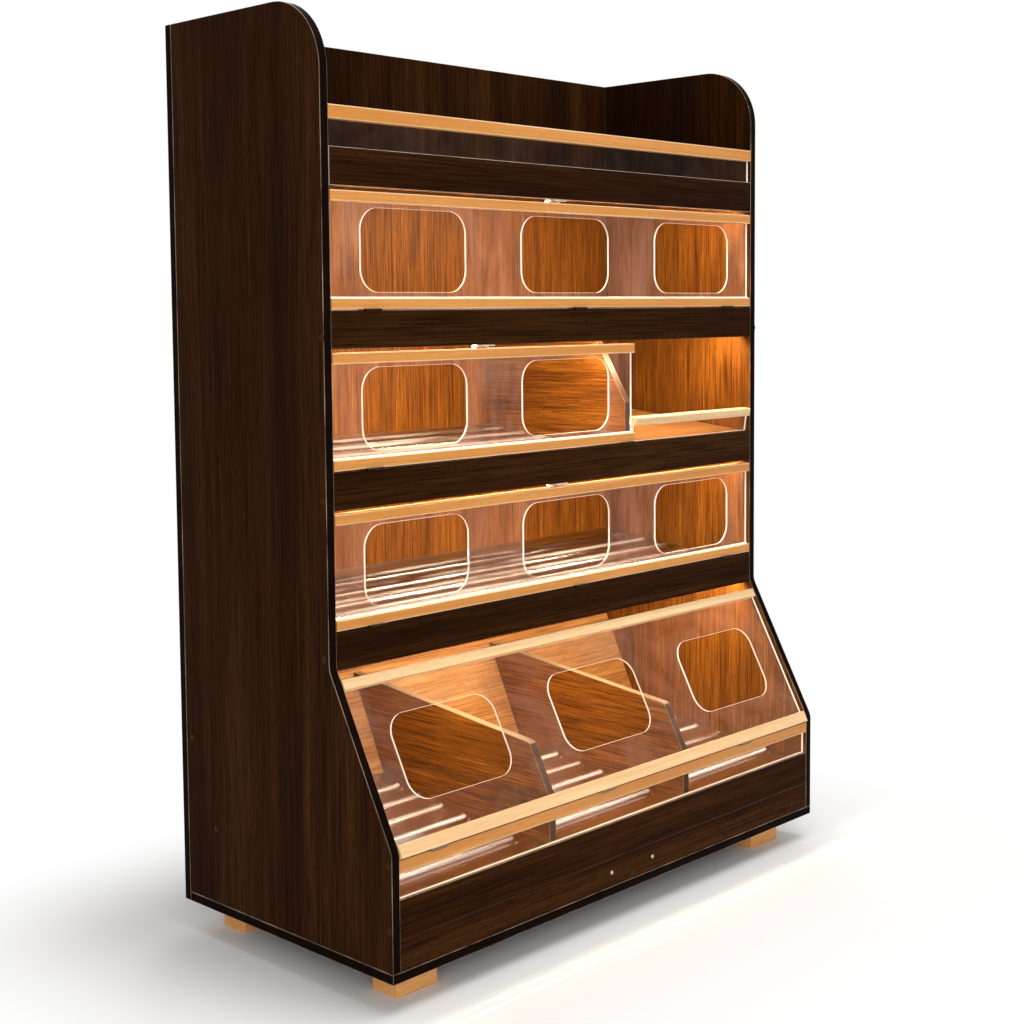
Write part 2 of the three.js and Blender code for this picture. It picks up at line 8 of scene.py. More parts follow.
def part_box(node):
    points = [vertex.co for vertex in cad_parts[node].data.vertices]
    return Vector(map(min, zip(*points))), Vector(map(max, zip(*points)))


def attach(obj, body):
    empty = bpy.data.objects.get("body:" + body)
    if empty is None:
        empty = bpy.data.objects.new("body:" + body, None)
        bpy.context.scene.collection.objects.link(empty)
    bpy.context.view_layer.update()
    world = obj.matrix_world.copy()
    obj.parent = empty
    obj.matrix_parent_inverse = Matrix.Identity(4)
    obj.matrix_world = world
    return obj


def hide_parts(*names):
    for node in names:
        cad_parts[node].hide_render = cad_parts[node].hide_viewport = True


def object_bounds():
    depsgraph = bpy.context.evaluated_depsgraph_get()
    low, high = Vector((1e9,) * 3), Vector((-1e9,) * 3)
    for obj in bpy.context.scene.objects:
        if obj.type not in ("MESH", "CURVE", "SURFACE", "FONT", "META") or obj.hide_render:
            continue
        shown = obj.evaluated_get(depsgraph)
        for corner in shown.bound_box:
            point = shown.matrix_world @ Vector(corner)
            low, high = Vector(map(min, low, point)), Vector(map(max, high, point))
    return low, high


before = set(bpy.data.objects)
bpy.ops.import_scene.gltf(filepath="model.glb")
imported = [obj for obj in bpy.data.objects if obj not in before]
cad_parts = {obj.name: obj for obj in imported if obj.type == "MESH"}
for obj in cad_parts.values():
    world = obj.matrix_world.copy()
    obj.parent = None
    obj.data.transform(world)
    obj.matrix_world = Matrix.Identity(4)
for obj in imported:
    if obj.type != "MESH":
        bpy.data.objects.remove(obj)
cad_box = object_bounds()
scene = bpy.context.scene

# Driving sizes, written in millimetres and turned to metres, the unit of the frame.
MM = 0.001
MM_PER_METRE = 1000

# Boards and rows.
BOARD = 18 * MM
ARRIS = 0.9 * MM
TIERS = (1, 2, 3)
VALANCES = (1, 2, 3, 4)
TIER_PITCH = 288 * MM
SECTIONS = 3
FLOOR_SLOPE = radians(6.5)
FIT = 0.3 * MM

# Beech strips, each with a groove for its pane, and on two of them a nib over the hinge line.
STRIP = 20 * MM
STRIP_EDGE = 2.2 * MM
GROOVE_DEEP = 10 * MM
NIB = 2.3 * MM
NIB_EDGE = 0.5 * MM

# Panes, and the bead at the foot of a tier flap's pane, which glows as painted light.
PANE = 4 * MM
PANE_SETBACK = 8 * MM
PANE_POLISH = 0.4 * MM
PANE_END_GAP = 1 * MM
BEAD = 2.0 * MM

# Tier flaps. A hand hole is given by its width, height and corner radius.
FLAP_SIDE_GAP = 2 * MM
FLAP_HEIGHT = 213 * MM
HINGE_GAP = 2.4 * MM
HAND_HOLE = (265 * MM, 152 * MM, 42 * MM)
HAND_HOLE_UP = 109 * MM
OPEN_TIER = 2
SHORT_FLAP_RIGHT = 208 * MM

# Slanted bin front: its flap, and the fixed rail below it.
SLANT_RUN = 160 * MM
SLANT_RISE = 300 * MM
LOWER_BEND = 232 * MM
BIN_HAND_HOLE = (265 * MM, 163 * MM, 42 * MM)
BIN_FLAP_BOTTOM = -8 * MM
BIN_FLAP_TOP = 319 * MM
BIN_STRIP = 22 * MM
BIN_NIB = 3 * MM
RAIL_NIB = 3.6 * MM
RAIL_SETBACK = 0.5 * MM
RAIL_BOTTOM = 194 * MM
RAIL_TOP = 214 * MM

# Fences: the trough's at the top, and the low leaning one of the open section.
FENCE_OPEN = 48 * MM
FENCE_STRIP = 25 * MM
OPEN_FENCE_LEAN = radians(8)
OPEN_FENCE_FOOT = 16 * MM
OPEN_FENCE_LEFT = 214 * MM
OPEN_FENCE_UP = 36 * MM
OPEN_FENCE_STRIP = 18 * MM

# Places read from the frame. A lip is a valance's upper edge; lips[tier] is the one under that tier's flap.
left_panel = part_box("left_side_panel")
right_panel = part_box("right_side_panel")
top_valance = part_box("valance_1")
inner_left = left_panel[1].x
inner_right = right_panel[0].x
lower_front = left_panel[0].y
upper_front = top_valance[0].y
shelf_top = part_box("top_shelf")[1].z
base_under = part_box("base_board")[0].z
lips = [top_valance[1].z - row * TIER_PITCH for row in range(len(VALANCES))]
section = (inner_right - inner_left) / SECTIONS
middles = [inner_left + (index + 0.5) * section for index in range(SECTIONS)]
slant_angle = atan2(SLANT_RUN, SLANT_RISE)
slant = (Matrix.Translation((0, lower_front, base_under + LOWER_BEND))
         @ Matrix.Rotation(-slant_angle, 4, "X"))
open_fence = (Matrix.Translation((0, upper_front + OPEN_FENCE_FOOT, lips[OPEN_TIER] + FIT))
              @ Matrix.Rotation(OPEN_FENCE_LEAN, 4, "X"))

# Colours and nodes. A colour Mix node's sockets go by number, because several have the same name.
BLACK = (0, 0, 0, 1)
WHITE = (1, 1, 1, 1)
MIX_FACTOR, MIX_A, MIX_B, MIX_COLOUR = 0, 6, 7, 2


def linear(hexa):
    """An sRGB hex colour as linear RGBA."""
    parts = [int(hexa[i:i + 2], 16) / 255 for i in (1, 3, 5)]
    return (*[p / 12.92 if p <= 0.04045 else ((p + 0.055) / 1.055) ** 2.4 for p in parts], 1.0)


def add(tree, kind, links=(), stops=(), out=0, **settings):
    """Adds a shader node and returns one of its outputs, by number or name. links gives its inputs values or
    other nodes' outputs, and stops a ramp's places and colours."""
    made = tree.nodes.new("ShaderNode" + kind)
    for name, value in settings.items():
        setattr(made, name, value)
    for key, value in dict(links).items():
        if isinstance(value, bpy.types.NodeSocket):
            tree.links.new(value, made.inputs[key])
        else:
            made.inputs[key].default_value = value
    stops = list(stops)
    if stops:
        ramp = made.color_ramp.elements
        while len(ramp) < len(stops):
            ramp.new(0.5)
        for element, (place, colour) in zip(ramp, stops):
            element.position = place
            element.color = colour
    return made.outputs[out] if made.outputs else None


def new_material(name):
    """A material with no nodes yet, and its node tree."""
    made = bpy.data.materials.new(name)
    made.use_nodes = True
    made.node_tree.nodes.clear()
    return made, made.node_tree


def stretched_noise(tree, along, across_mm, along_mm, detail, distortion=0.0):
    """Noise fixed to the piece, stretched along one axis, from the size of its marks in millimetres."""
    place = add(tree, "TexCoord", out="Object")
    repeats = [MM_PER_METRE / (along_mm if axis == along else across_mm) for axis in "XYZ"]
    scaled = add(tree, "Mapping", {"Vector": place, "Scale": repeats})
    return add(tree, "TexNoise", {
        "Vector": scaled, "Scale": 1.0, "Detail": detail, "Roughness": 0.6, "Distortion": distortion})


# Noise lies in about this range. The levels below say where in it each pattern turns.
NOISE_RANGE = (0.3, 0.7)

# Wood pattern: sizes across and along the grain in millimetres, the bands' length over their width, and the
# depth of the relief.
STREAK = (3.6, 260)
PORE = (1.5, 34)
BAND_STRETCH = 25
BAND_LEVELS = (0.32, 0.5, 0.68)
STREAK_LEVELS = (0.34, 0.6)
PORE_LEVELS = (0.56, 0.68)
GRAIN_DEEP = 0.3 * MM


def wood_decor(name, along, tones, streak, pore, rough, gloss, bump, grain=1.0, band=40):
    """Wood pattern along one axis: broad bands, fine streaks and short pores, in colour, gloss and relief.
    streak is the tint that the streaks deepen to. The pores are drawn wider than the real 0.3 mm, so that
    they show. grain makes the pattern finer or coarser, and band is the bands' width in millimetres."""
    made, tree = new_material(name)
    bands = stretched_noise(tree, along, band * grain, BAND_STRETCH * band * grain, detail=3, distortion=1.2)
    streaks = stretched_noise(tree, along, STREAK[0] * grain, STREAK[1] * grain, detail=5)
    pores = stretched_noise(tree, along, *PORE, detail=2)
    tone = add(tree, "ValToRGB", {"Fac": bands}, zip(BAND_LEVELS, map(linear, tones)))
    shade = add(tree, "ValToRGB", {"Fac": streaks}, zip(STREAK_LEVELS, (linear(streak), WHITE)))
    streaked = add(tree, "Mix", {MIX_FACTOR: 1.0, MIX_A: tone, MIX_B: shade},
                   out=MIX_COLOUR, data_type="RGBA", blend_type="MULTIPLY")
    open_pores = add(tree, "ValToRGB", {"Fac": pores}, zip(PORE_LEVELS, (BLACK, WHITE)))
    colour = add(tree, "Mix", {MIX_FACTOR: open_pores, MIX_A: streaked, MIX_B: linear(pore)},
                 out=MIX_COLOUR, data_type="RGBA")
    roughness = add(tree, "MapRange", {
        "Value": streaks, "From Min": NOISE_RANGE[0], "From Max": NOISE_RANGE[1],
        "To Min": rough[0], "To Max": rough[1]})
    height = add(tree, "Math", {0: streaks, 1: pores}, operation="SUBTRACT")
    relief = add(tree, "Bump", {"Height": height, "Strength": bump, "Distance": GRAIN_DEEP})
    shader = add(tree, "BsdfPrincipled", {
        "Base Color": colour, "Roughness": roughness, "Normal": relief, "Specular IOR Level": gloss})
    add(tree, "OutputMaterial", {"Surface": shader})
    return made


# Wenge melamine: printed dark paper under resin, almost black with brown streaks and a dull satin skin. The
# uprights show a coarser grain, and the valances get a darker copy, which is painted shade.
WENGE = {"tones": ("#251206", "#361C09", "#472A11"), "streak": "#83786D", "pore": "#1C0D05",
         "rough": (0.42, 0.55), "gloss": 0.012, "bump": 0.2, "grain": 0.6, "band": 150}
COARSE_WENGE = {**WENGE, "grain": 0.95}
SHADED_WENGE = {**WENGE, "tones": ("#241106", "#331B09", "#432911")}
wenge_upright = wood_decor("wenge_melamine_upright", "Z", **COARSE_WENGE)
wenge_across = wood_decor("wenge_melamine_across", "X", **WENGE)
shaded_wenge_across = wood_decor("shaded_wenge_melamine_across", "X", **SHADED_WENGE)

# Walnut melamine: a red-brown paper on the boards inside, lighter than the wenge outside, and partly painted
# light:
# part of the lamps' amber glow is put in its colour. The tier floors have a darker copy, painted shade under
# their trays, and the bins' back and the open section's floor a lighter copy, painted light where the lamps
# fall close.
LAMPLIT_WALNUT = {"tones": ("#613710", "#734212", "#845218"), "streak": "#6E6053", "pore": "#452709",
          "rough": (0.4, 0.52), "gloss": 0.08, "bump": 0.2, "grain": 0.55}
UNDER_TRAY_SHADED_WALNUT = {**LAMPLIT_WALNUT, "tones": ("#412209", "#4F2A0C", "#5D3512"), "streak": "#B6A99D", "pore": "#2C180A"}
BRIGHT_LIT_WALNUT = {**LAMPLIT_WALNUT, "tones": ("#82572B", "#8F6335", "#9A7040"), "streak": "#A09080", "pore": "#6A4520"}
lamplit_walnut_upright = wood_decor("lamplit_walnut_melamine_upright", "Z", **LAMPLIT_WALNUT)
lamplit_walnut_across = wood_decor("lamplit_walnut_melamine_across", "X", **LAMPLIT_WALNUT)
lamplit_walnut_inward = wood_decor("lamplit_walnut_melamine_inward", "Y", **LAMPLIT_WALNUT)
shaded_walnut_across = wood_decor("shaded_walnut_melamine_across", "X", **UNDER_TRAY_SHADED_WALNUT)
bright_lit_walnut_across = wood_decor("bright_lit_walnut_melamine_across", "X", **BRIGHT_LIT_WALNUT)

# Lacquered beech: pale, even, with short darker flecks along the grain and a soft gloss. A paler copy is
# painted light:
# on the bin flap and the open section's fence, strongly lit by the lamps, and on the strips' front corners
# as a painted highlight. The feet are oiled, so duller, and a lighter copy too, painted light for feet that
# stand in shade.
BEECH = {"tones": ("#C88339", "#D08C42", "#D8964C"), "streak": "#F3ECE4", "pore": "#BE7C36",
         "rough": (0.3, 0.4), "gloss": 0.3, "bump": 0.1}
LIT_PALE_BEECH = {**BEECH, "tones": ("#DDB785", "#E4C090", "#EAC99C"), "pore": "#D2A975"}
LIT_OILED_BEECH = {**BEECH, "tones": ("#E2A05C", "#EAAA66", "#F0B470"), "pore": "#D09050",
               "rough": (0.4, 0.5), "gloss": 0.2}
beech_across = wood_decor("lacquered_beech_across", "X", **BEECH)
lit_pale_beech_across = wood_decor("lit_pale_beech_across", "X", **LIT_PALE_BEECH)
lit_oiled_beech_across = wood_decor("lit_oiled_beech_across", "X", **LIT_OILED_BEECH)

WEAR_LEVELS = (0.35, 0.65)
ROUGH_SPREAD = 0.2


def edge_band(name, colour, wear_and_highlight, rough, gloss):
    """ABS edging: one colour that turns to a second one in stretches, smoother than the face. The second
    colour shows scuffs on the darker edgings, and a painted highlight on the pale lines.
    """
    made, tree = new_material(name)
    wear_and_highlight_pattern = stretched_noise(tree, "Z", across_mm=60, along_mm=90, detail=4)
    tone = add(tree, "ValToRGB", {"Fac": wear_and_highlight_pattern}, zip(WEAR_LEVELS, (linear(colour), linear(wear_and_highlight))))
    roughness = add(tree, "MapRange", {
        "Value": wear_and_highlight_pattern, "To Min": rough * (1 - ROUGH_SPREAD), "To Max": rough * (1 + ROUGH_SPREAD)})
    shader = add(tree, "BsdfPrincipled", {
        "Base Color": tone, "Roughness": roughness, "Specular IOR Level": gloss})
    add(tree, "OutputMaterial", {"Surface": shader})
    return made


# ABS edging: dark on the cabinet. On the boards inside, the pale edging is painted light, on the edges that
# the lamps light, and the brown is painted shade, on the dividers' front edges. The plinth's top edge and
# the valances' undersides get the pale edging too, as painted light. A line is the eased edge where the
# edging meets the face: pale in stretches on the outer boards, a painted highlight broken like scrapes, dull
# on the plinth, the top shelf and the valances, and a pale painted highlight all along the top valance.
dark_edging = edge_band("dark_abs_edging", "#0E0704", wear_and_highlight="#150B07", rough=0.24, gloss=0.008)
lamplit_pale_edging = edge_band("lamplit_pale_abs_edging", "#6E5A42", wear_and_highlight="#7A664C", rough=0.3, gloss=0.1)
shaded_brown_edging = edge_band("shaded_brown_abs_edging", "#38200F", wear_and_highlight="#442A19", rough=0.3, gloss=0.05)
highlight_scraped_line = edge_band("highlight_scraped_edging_line", "#3A2618", wear_and_highlight="#A08A74", rough=0.3, gloss=0.2)
dull_line = edge_band("dark_edging_line", "#2A1A10", wear_and_highlight="#33211A", rough=0.3, gloss=0.1)
highlight_pale_line = edge_band("highlight_pale_edging_line", "#A08C78", wear_and_highlight="#C4B2A0", rough=0.3, gloss=0.2)

# Clear plastics. Acrylic mirrors only past SHALLOW_MIRROR, so a pane that is seen straight on stays clear.
CLEAR = "#FEFDFC"
ACRYLIC_IOR = 1.49
SHALLOW_MIRROR = 0.07
WARM_FILM_GLOW = "#FFCEB8"
PALE_FILM_GLOW = "#FFDCCB"
SMEAR_LEVELS = (0.4, 0.7)


def mirror_share(tree, ior):
    """How much a clear face mirrors, by its angle. The index is turned over for rays that leave the sheet,
    because they go straight on."""
    leaving = add(tree, "NewGeometry", out="Backfacing")
    index = add(tree, "MapRange", {"Value": leaving, "To Min": ior, "To Max": 1 / ior})
    return add(tree, "Fresnel", {"IOR": index})


def clear_sheet(name, patches, painted_glow, film):
    """Clear sheet: what is behind it is seen straight through it, it mirrors at a shallow angle, and the
    lamps' light passes it. patches is the size across and along of its wiping marks. The glow levels, of the
    clean and of the smeared places,
    are painted light: an emission in the film colour that stands for lamp light caught in the smears and for
    the room's reflection."""
    made, tree = new_material(name)
    seen = add(tree, "BsdfRefraction", {"Color": linear(CLEAR), "Roughness": 0.0, "IOR": 1.0})
    mirror = add(tree, "BsdfGlossy", {"Color": WHITE, "Roughness": 0.02})
    shallow = add(tree, "MapRange", {"Value": mirror_share(tree, ACRYLIC_IOR), "From Min": SHALLOW_MIRROR})
    surface = add(tree, "MixShader", {0: shallow, 1: seen, 2: mirror})
    through = add(tree, "BsdfTransparent", {"Color": linear(CLEAR)})
    lamp_ray = add(tree, "LightPath", out="Is Shadow Ray")
    surface = add(tree, "MixShader", {0: lamp_ray, 1: surface, 2: through})
    wiped = stretched_noise(tree, "Z", *patches, detail=5, distortion=0.8)
    # Painted light: the sheet gives off a glow, stronger over the wiping marks.
    level = add(tree, "MapRange", {
        "Value": wiped, "From Min": SMEAR_LEVELS[0], "From Max": SMEAR_LEVELS[1],
        "To Min": painted_glow[0], "To Max": painted_glow[1]})
    marks = add(tree, "Emission", {"Color": linear(film), "Strength": level})
    surface = add(tree, "AddShader", {0: surface, 1: marks})
    made.cycles.emission_sampling = "NONE"
    add(tree, "OutputMaterial", {"Surface": surface})
    return made


# Extruded acrylic: water clear, mirroring the room at a shallow angle. The flaps are handled all day and
# carry wiping marks, whose milky film is painted light, a glow given off by the sheet; the fixed panes glow
# less.
acrylic = clear_sheet("extruded_acrylic", patches=(60, 220), painted_glow=(0.03, 0.095), film=WARM_FILM_GLOW)
bin_acrylic = clear_sheet("handled_acrylic", patches=(150, 150), painted_glow=(0.014, 0.055), film=PALE_FILM_GLOW)
clean_acrylic = clear_sheet("clean_acrylic", patches=(90, 90), painted_glow=(0.005, 0.014), film=PALE_FILM_GLOW)

# Upward share of a tray's normal at which the white band on its ribs' flanks begins, is whitest and ends.
HIGHLIGHT_BAND_LEVELS = (0.7, 0.84, 0.95)
STRETCH_LEVELS = (0.35, 0.7)
HIGHLIGHT_HAZE = "#F3EEEA"


def formed_plastic(name, rough, ior, highlight_whitening):
    """Thin formed plastic: light goes straight through, and each face mirrors by its angle. Along the middle
    of its ribs' flanks, in stretches, a diffuse white band is partly stress whitening of the drawn sheet and
    partly painted highlight, put where the lamps' streaks fall."""
    made, tree = new_material(name)
    flow = stretched_noise(tree, "X", across_mm=9, along_mm=160, detail=3, distortion=0.4)
    gloss_rough = add(tree, "MapRange", {"Value": flow, "To Min": rough[0], "To Max": rough[1]})
    through = add(tree, "BsdfTransparent", {"Color": linear(CLEAR)})
    mirror = add(tree, "BsdfGlossy", {"Color": WHITE, "Roughness": gloss_rough}, distribution="BECKMANN")
    surface = add(tree, "MixShader", {0: mirror_share(tree, ior), 1: through, 2: mirror})
    facing = add(tree, "TexCoord", out="Normal")
    upward = add(tree, "SeparateXYZ", {0: facing}, out="Z")
    # Painted highlight, partly stress whitening: white on the flanks where the lamps' streaks fall.
    highlight_band = add(tree, "ValToRGB", {"Fac": upward}, zip(HIGHLIGHT_BAND_LEVELS, (BLACK, WHITE, BLACK)))
    drawn = stretched_noise(tree, "X", across_mm=30, along_mm=400, detail=3)
    stretch = add(tree, "MapRange", {
        "Value": drawn, "From Min": STRETCH_LEVELS[0], "From Max": STRETCH_LEVELS[1],
        "To Min": 0.0, "To Max": highlight_whitening})
    share = add(tree, "Math", {0: highlight_band, 1: stretch}, operation="MULTIPLY")
    highlight_haze = add(tree, "BsdfDiffuse", {"Color": linear(HIGHLIGHT_HAZE)})
    surface = add(tree, "MixShader", {0: share, 1: surface, 2: highlight_haze})
    add(tree, "OutputMaterial", {"Surface": surface})
    return made


# Vacuum-formed PETG: clear, with a drawn skin that spreads each lamp's mirror image to a broad white streak.
# The index is set above the real 1.57, to make the streaks as bright as they look on the real trays.
petg = formed_plastic("vacuum_formed_petg", rough=(0.25, 0.35), ior=2.0, highlight_whitening=0.4)
bin_petg = formed_plastic("deep_formed_petg", rough=(0.15, 0.24), ior=2.4, highlight_whitening=0.7)

# Share of the colour that its darker places keep.
GLOW_DIM = 0.92
GRIT_DIM = 0.93


def glowing(name, colour, light, strength, rough):
    """A pale surface that gives off light, its own colour a little uneven along its length."""
    made, tree = new_material(name)
    uneven = stretched_noise(tree, "X", across_mm=30, along_mm=90, detail=2)
    base = Vector(linear(colour))
    tone = add(tree, "ValToRGB", {"Fac": uneven}, zip(NOISE_RANGE, (base * GLOW_DIM, base)))
    shader = add(tree, "BsdfPrincipled", {
        "Base Color": tone, "Roughness": rough, "Emission Color": linear(light),
        "Emission Strength": strength})
    made.cycles.emission_sampling = "NONE"
    add(tree, "OutputMaterial", {"Surface": shader})
    return made


# Milled acrylic edge: frosted by the cutter, and given a glow as painted light, standing for the lamps'
# light piped out through the sheet's edge.
glowing_milled_edge = glowing("glowing_milled_acrylic_edge", "#D8CCC0", light="#FFE0C4", strength=0.24, rough=0.4)
# Silicone bead: a thin clear bead along the foot of each tier flap's pane, whose glow is painted light, a
# bright line standing for the lamp's light piped out there.
glowing_silicone = glowing("glowing_clear_silicone", "#E8DED2", light="#FFF0DE", strength=0.5, rough=0.3)

OPAL = "#FFF3DF"
LAMP_LIGHT = "#FFE6C4"
DIODES_FADE = (40 * MM, 10 * MM)


def lit_cover(name, strength):
    """A milky cover over a lamp whose row of diodes stops short of both ends."""
    made, tree = new_material(name)
    place = add(tree, "TexCoord", out="Object")
    across = add(tree, "SeparateXYZ", {0: place}, out="X")
    off_middle = add(tree, "Math", {0: across}, operation="ABSOLUTE")
    fade_from, fade_to = [inner_right - inset for inset in DIODES_FADE]
    lit = add(tree, "MapRange", {
        "Value": off_middle, "From Min": fade_from, "From Max": fade_to,
        "To Min": 1.0, "To Max": 0.0}, interpolation_type="SMOOTHSTEP")
    glow = add(tree, "Mix", {MIX_FACTOR: lit, MIX_A: BLACK, MIX_B: linear(LAMP_LIGHT)},
               out=MIX_COLOUR, data_type="RGBA")
    shader = add(tree, "BsdfPrincipled", {
        "Base Color": linear(OPAL), "Roughness": 0.45, "Emission Color": glow,
        "Emission Strength": strength})
    made.cycles.emission_sampling = "FRONT"
    add(tree, "OutputMaterial", {"Surface": shader})
    return made


# Opal polycarbonate covers: a smooth warm white glow that fades at both ends of the lamp.
lamp_cover = lit_cover("opal_tier_lamp_cover", strength=140.0)
strong_lamp_cover = lit_cover("opal_bin_lamp_cover", strength=195.0)


def metal(name, colour, rough):
    """Metal with fine marks drawn along X, which stretch its highlights. The marks are drawn wider than the
    real ones, so that they show."""
    made, tree = new_material(name)
    marks = stretched_noise(tree, "X", across_mm=0.8, along_mm=60, detail=2)
    roughness = add(tree, "MapRange", {"Value": marks, "To Min": rough[0], "To Max": rough[1]})
    relief = add(tree, "Bump", {"Height": marks, "Strength": 0.1, "Distance": 0.05 * MM})
    shader = add(tree, "BsdfPrincipled", {
        "Base Color": linear(colour), "Metallic": 1.0, "Roughness": roughness, "Normal": relief})
    add(tree, "OutputMaterial", {"Surface": shader})
    return made


# Nickel-plated screw heads with a soft gleam, near-black hinges on the tiers, grey zinc ones on the bins
# darker than the nickel, and the even satin of the lamps' anodised extrusion. The hinges' dark colours are
# painted shade, for the
# shaded gap they sit in: wholly on the tiers, partly on the bins.
nickel = metal("nickel_plated_steel", "#B9B2A6", rough=(0.22, 0.36))
shaded_dull_steel = metal("shaded_dull_zinc_steel", "#86806F", rough=(0.36, 0.5))
shaded_bronzed = metal("shaded_bronzed_steel", "#2E1E10", rough=(0.4, 0.5))
anodised = metal("anodised_aluminium", "#BDBEC0", rough=(0.3, 0.45))


def moulded(name, colour, rough, gloss, grit_mm):
    """Moulded plastic: one colour with a spark-eroded grit in its skin, drawn coarser than the real one, so
    that it shows."""
    made, tree = new_material(name)
    grit = stretched_noise(tree, "X", grit_mm, grit_mm, detail=2)
    base = Vector(linear(colour))
    tone = add(tree, "ValToRGB", {"Fac": grit}, zip(NOISE_RANGE, (base * GRIT_DIM, base)))
    relief = add(tree, "Bump", {"Height": grit, "Strength": 0.15, "Distance": 0.1 * MM})
    shader = add(tree, "BsdfPrincipled", {
        "Base Color": tone, "Roughness": rough, "Normal": relief, "Specular IOR Level": gloss})
    add(tree, "OutputMaterial", {"Surface": shader})
    return made


# Moulded pieces, even in colour with a fine dull skin: white nylon catches, brown polyethylene screw covers
# and the grey lamp driver's case.
white_nylon = moulded("white_nylon", "#F0E6D6", rough=0.38, gloss=0.5, grit_mm=0.9)
brown_cover = moulded("brown_screw_cover", "#3A2212", rough=0.3, gloss=0.03, grit_mm=0.9)
grey_case = moulded("grey_driver_case", "#6F7276", rough=0.55, gloss=0.5, grit_mm=1.1)

# Making and placing pieces. Where faces turn by more than EASED their edge is eased, and by more than CREASE
# it is shaded sharp.
EASED = radians(30)
CREASE = radians(35)
TRAY_CREASE = radians(40)
ONE_FACE = radians(1)
MERGE = 0.01 * MM
UPRIGHT = Matrix.Identity(4)


def piece(name, bm, body, finishes, nodes=()):
    """A new piece from a bmesh, with its finishes, on its body."""
    mesh = bpy.data.meshes.new(name)
    bm.to_mesh(mesh)
    bm.free()
    for finish in finishes:
        mesh.materials.append(finish)
    made = bpy.data.objects.new(name, mesh)
    scene.collection.objects.link(made)
    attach(made, body)
    if nodes:
        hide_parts(*nodes)


def soften(bm, crease=CREASE):
    """Smooth shading inside each finish, with creases where finishes meet or faces turn sharply."""
    for face in bm.faces:
        face.smooth = True
    for edge in bm.edges:
        sides = edge.link_faces
        meets = len(sides) == 2 and sides[0].material_index != sides[1].material_index
        edge.smooth = not (meets or edge.calc_face_angle(pi) > crease)


def ease_edges(bm, edges, width, finish):
    """Rounds the edges over a small width, which gets a finish of its own."""
    bmesh.ops.bevel(bm, geom=edges, offset=width, segments=2, profile=0.6, affect="EDGES",
                    clamp_overlap=True, material=finish)


def sharp_edges(bm):
    """Edges whose faces turn by more than EASED."""
    return [e for e in bm.edges if len(e.link_faces) == 2 and e.calc_face_angle() > EASED]


def node_bmesh(node):
    """A CAD node's solid with its flat faces whole again."""
    bm = bmesh.new()
    bm.from_mesh(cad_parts[node].data)
    bmesh.ops.remove_doubles(bm, verts=bm.verts, dist=MERGE)
    bmesh.ops.dissolve_limit(bm, angle_limit=ONE_FACE, verts=bm.verts, edges=bm.edges)
    return bm


# Order of the finishes on a board. The fifth finish is the edging of upper edges, or of a valance's
# underside, and is the pale edging there, painted light.
# FACING and UPWARD are how far a face's normal has to point to a side, or up, to belong there.
FRONT, REAR, EDGE, LINE, LIT_OWN_EDGE = range(5)
FACING = 0.9
UPWARD = 0.7


def board(node, normal, finishes, split=None):
    """A board with eased edges. normal points out of its front face; above the height split, its rear face
    has the front's finish."""
    bm = node_bmesh(node)
    normal = Vector(normal).normalized()
    if split:
        bmesh.ops.bisect_plane(bm, geom=[*bm.verts, *bm.edges, *bm.faces], plane_co=(0, 0, split),
                               plane_no=(0, 0, 1))
    for face in bm.faces:
        lean = face.normal.dot(normal)
        face.material_index = FRONT if lean > FACING else REAR if lean < -FACING else EDGE
        if split and face.material_index == REAR and face.calc_center_median().z > split:
            face.material_index = FRONT
        if face.material_index == EDGE and face.normal.z > UPWARD and len(finishes) > LIT_OWN_EDGE:
            face.material_index = LIT_OWN_EDGE
    ease_edges(bm, sharp_edges(bm), ARRIS, LINE)
    soften(bm)
    piece(node + "_board", bm, "cabinet", finishes, [node])


CORNER_STEPS = 6
HOLE_STEPS = 14


def rounded(corners, steps=CORNER_STEPS):
    """Points of a closed outline through (u, v, radius) corners, each rounded by an arc of its radius."""
    points = []
    for index, (u, v, radius) in enumerate(corners):
        corner = Vector((u, v))
        if not radius:
            points.append(corner)
            continue
        back = (Vector(corners[index - 1][:2]) - corner).normalized()
        ahead = (Vector(corners[(index + 1) % len(corners)][:2]) - corner).normalized()
        half = back.angle(ahead) / 2
        centre = corner + (back + ahead).normalized() * radius / sin(half)
        start = corner + back * radius / tan(half) - centre
        end = corner + ahead * radius / tan(half) - centre
        sweep = start.angle_signed(end)
        points += [centre + Matrix.Rotation(-sweep * step / steps, 2) @ start for step in range(steps + 1)]
    return points


def rectangle(left, right, bottom, top, radius=0):
    """Corners of an upright rectangle, as rounded() takes them."""
    return [(left, bottom, radius), (right, bottom, radius), (right, top, radius), (left, top, radius)]


def circle(radius, sides):
    """Points of a circle around the origin."""
    angles = [2 * pi * side / sides for side in range(sides)]
    return [(radius * cos(angle), radius * sin(angle)) for angle in angles]


def drawn_along_x(bm, outline, left, right, turn=UPRIGHT):
    """Adds a closed (y, z) outline drawn out along X to a bmesh."""
    start, end = [[bm.verts.new(turn @ Vector((x, y, z))) for y, z in outline] for x in (left, right)]
    bm.faces.new(start)
    bm.faces.new(end[::-1])
    for i in range(len(outline)):
        bm.faces.new((start[i - 1], end[i - 1], end[i], start[i]))


def groove(front):
    """Near and far wall of a pane's groove, behind a front face."""
    return front + PANE_SETBACK - FIT, front + PANE_SETBACK + PANE + FIT


# Order of the finishes on a strip, and the least slant of a face on its rounded corners. The second finish
# is a painted highlight on the front corners.
WOOD, RUBBED_HIGHLIGHT = range(2)
SLANTED = 0.05


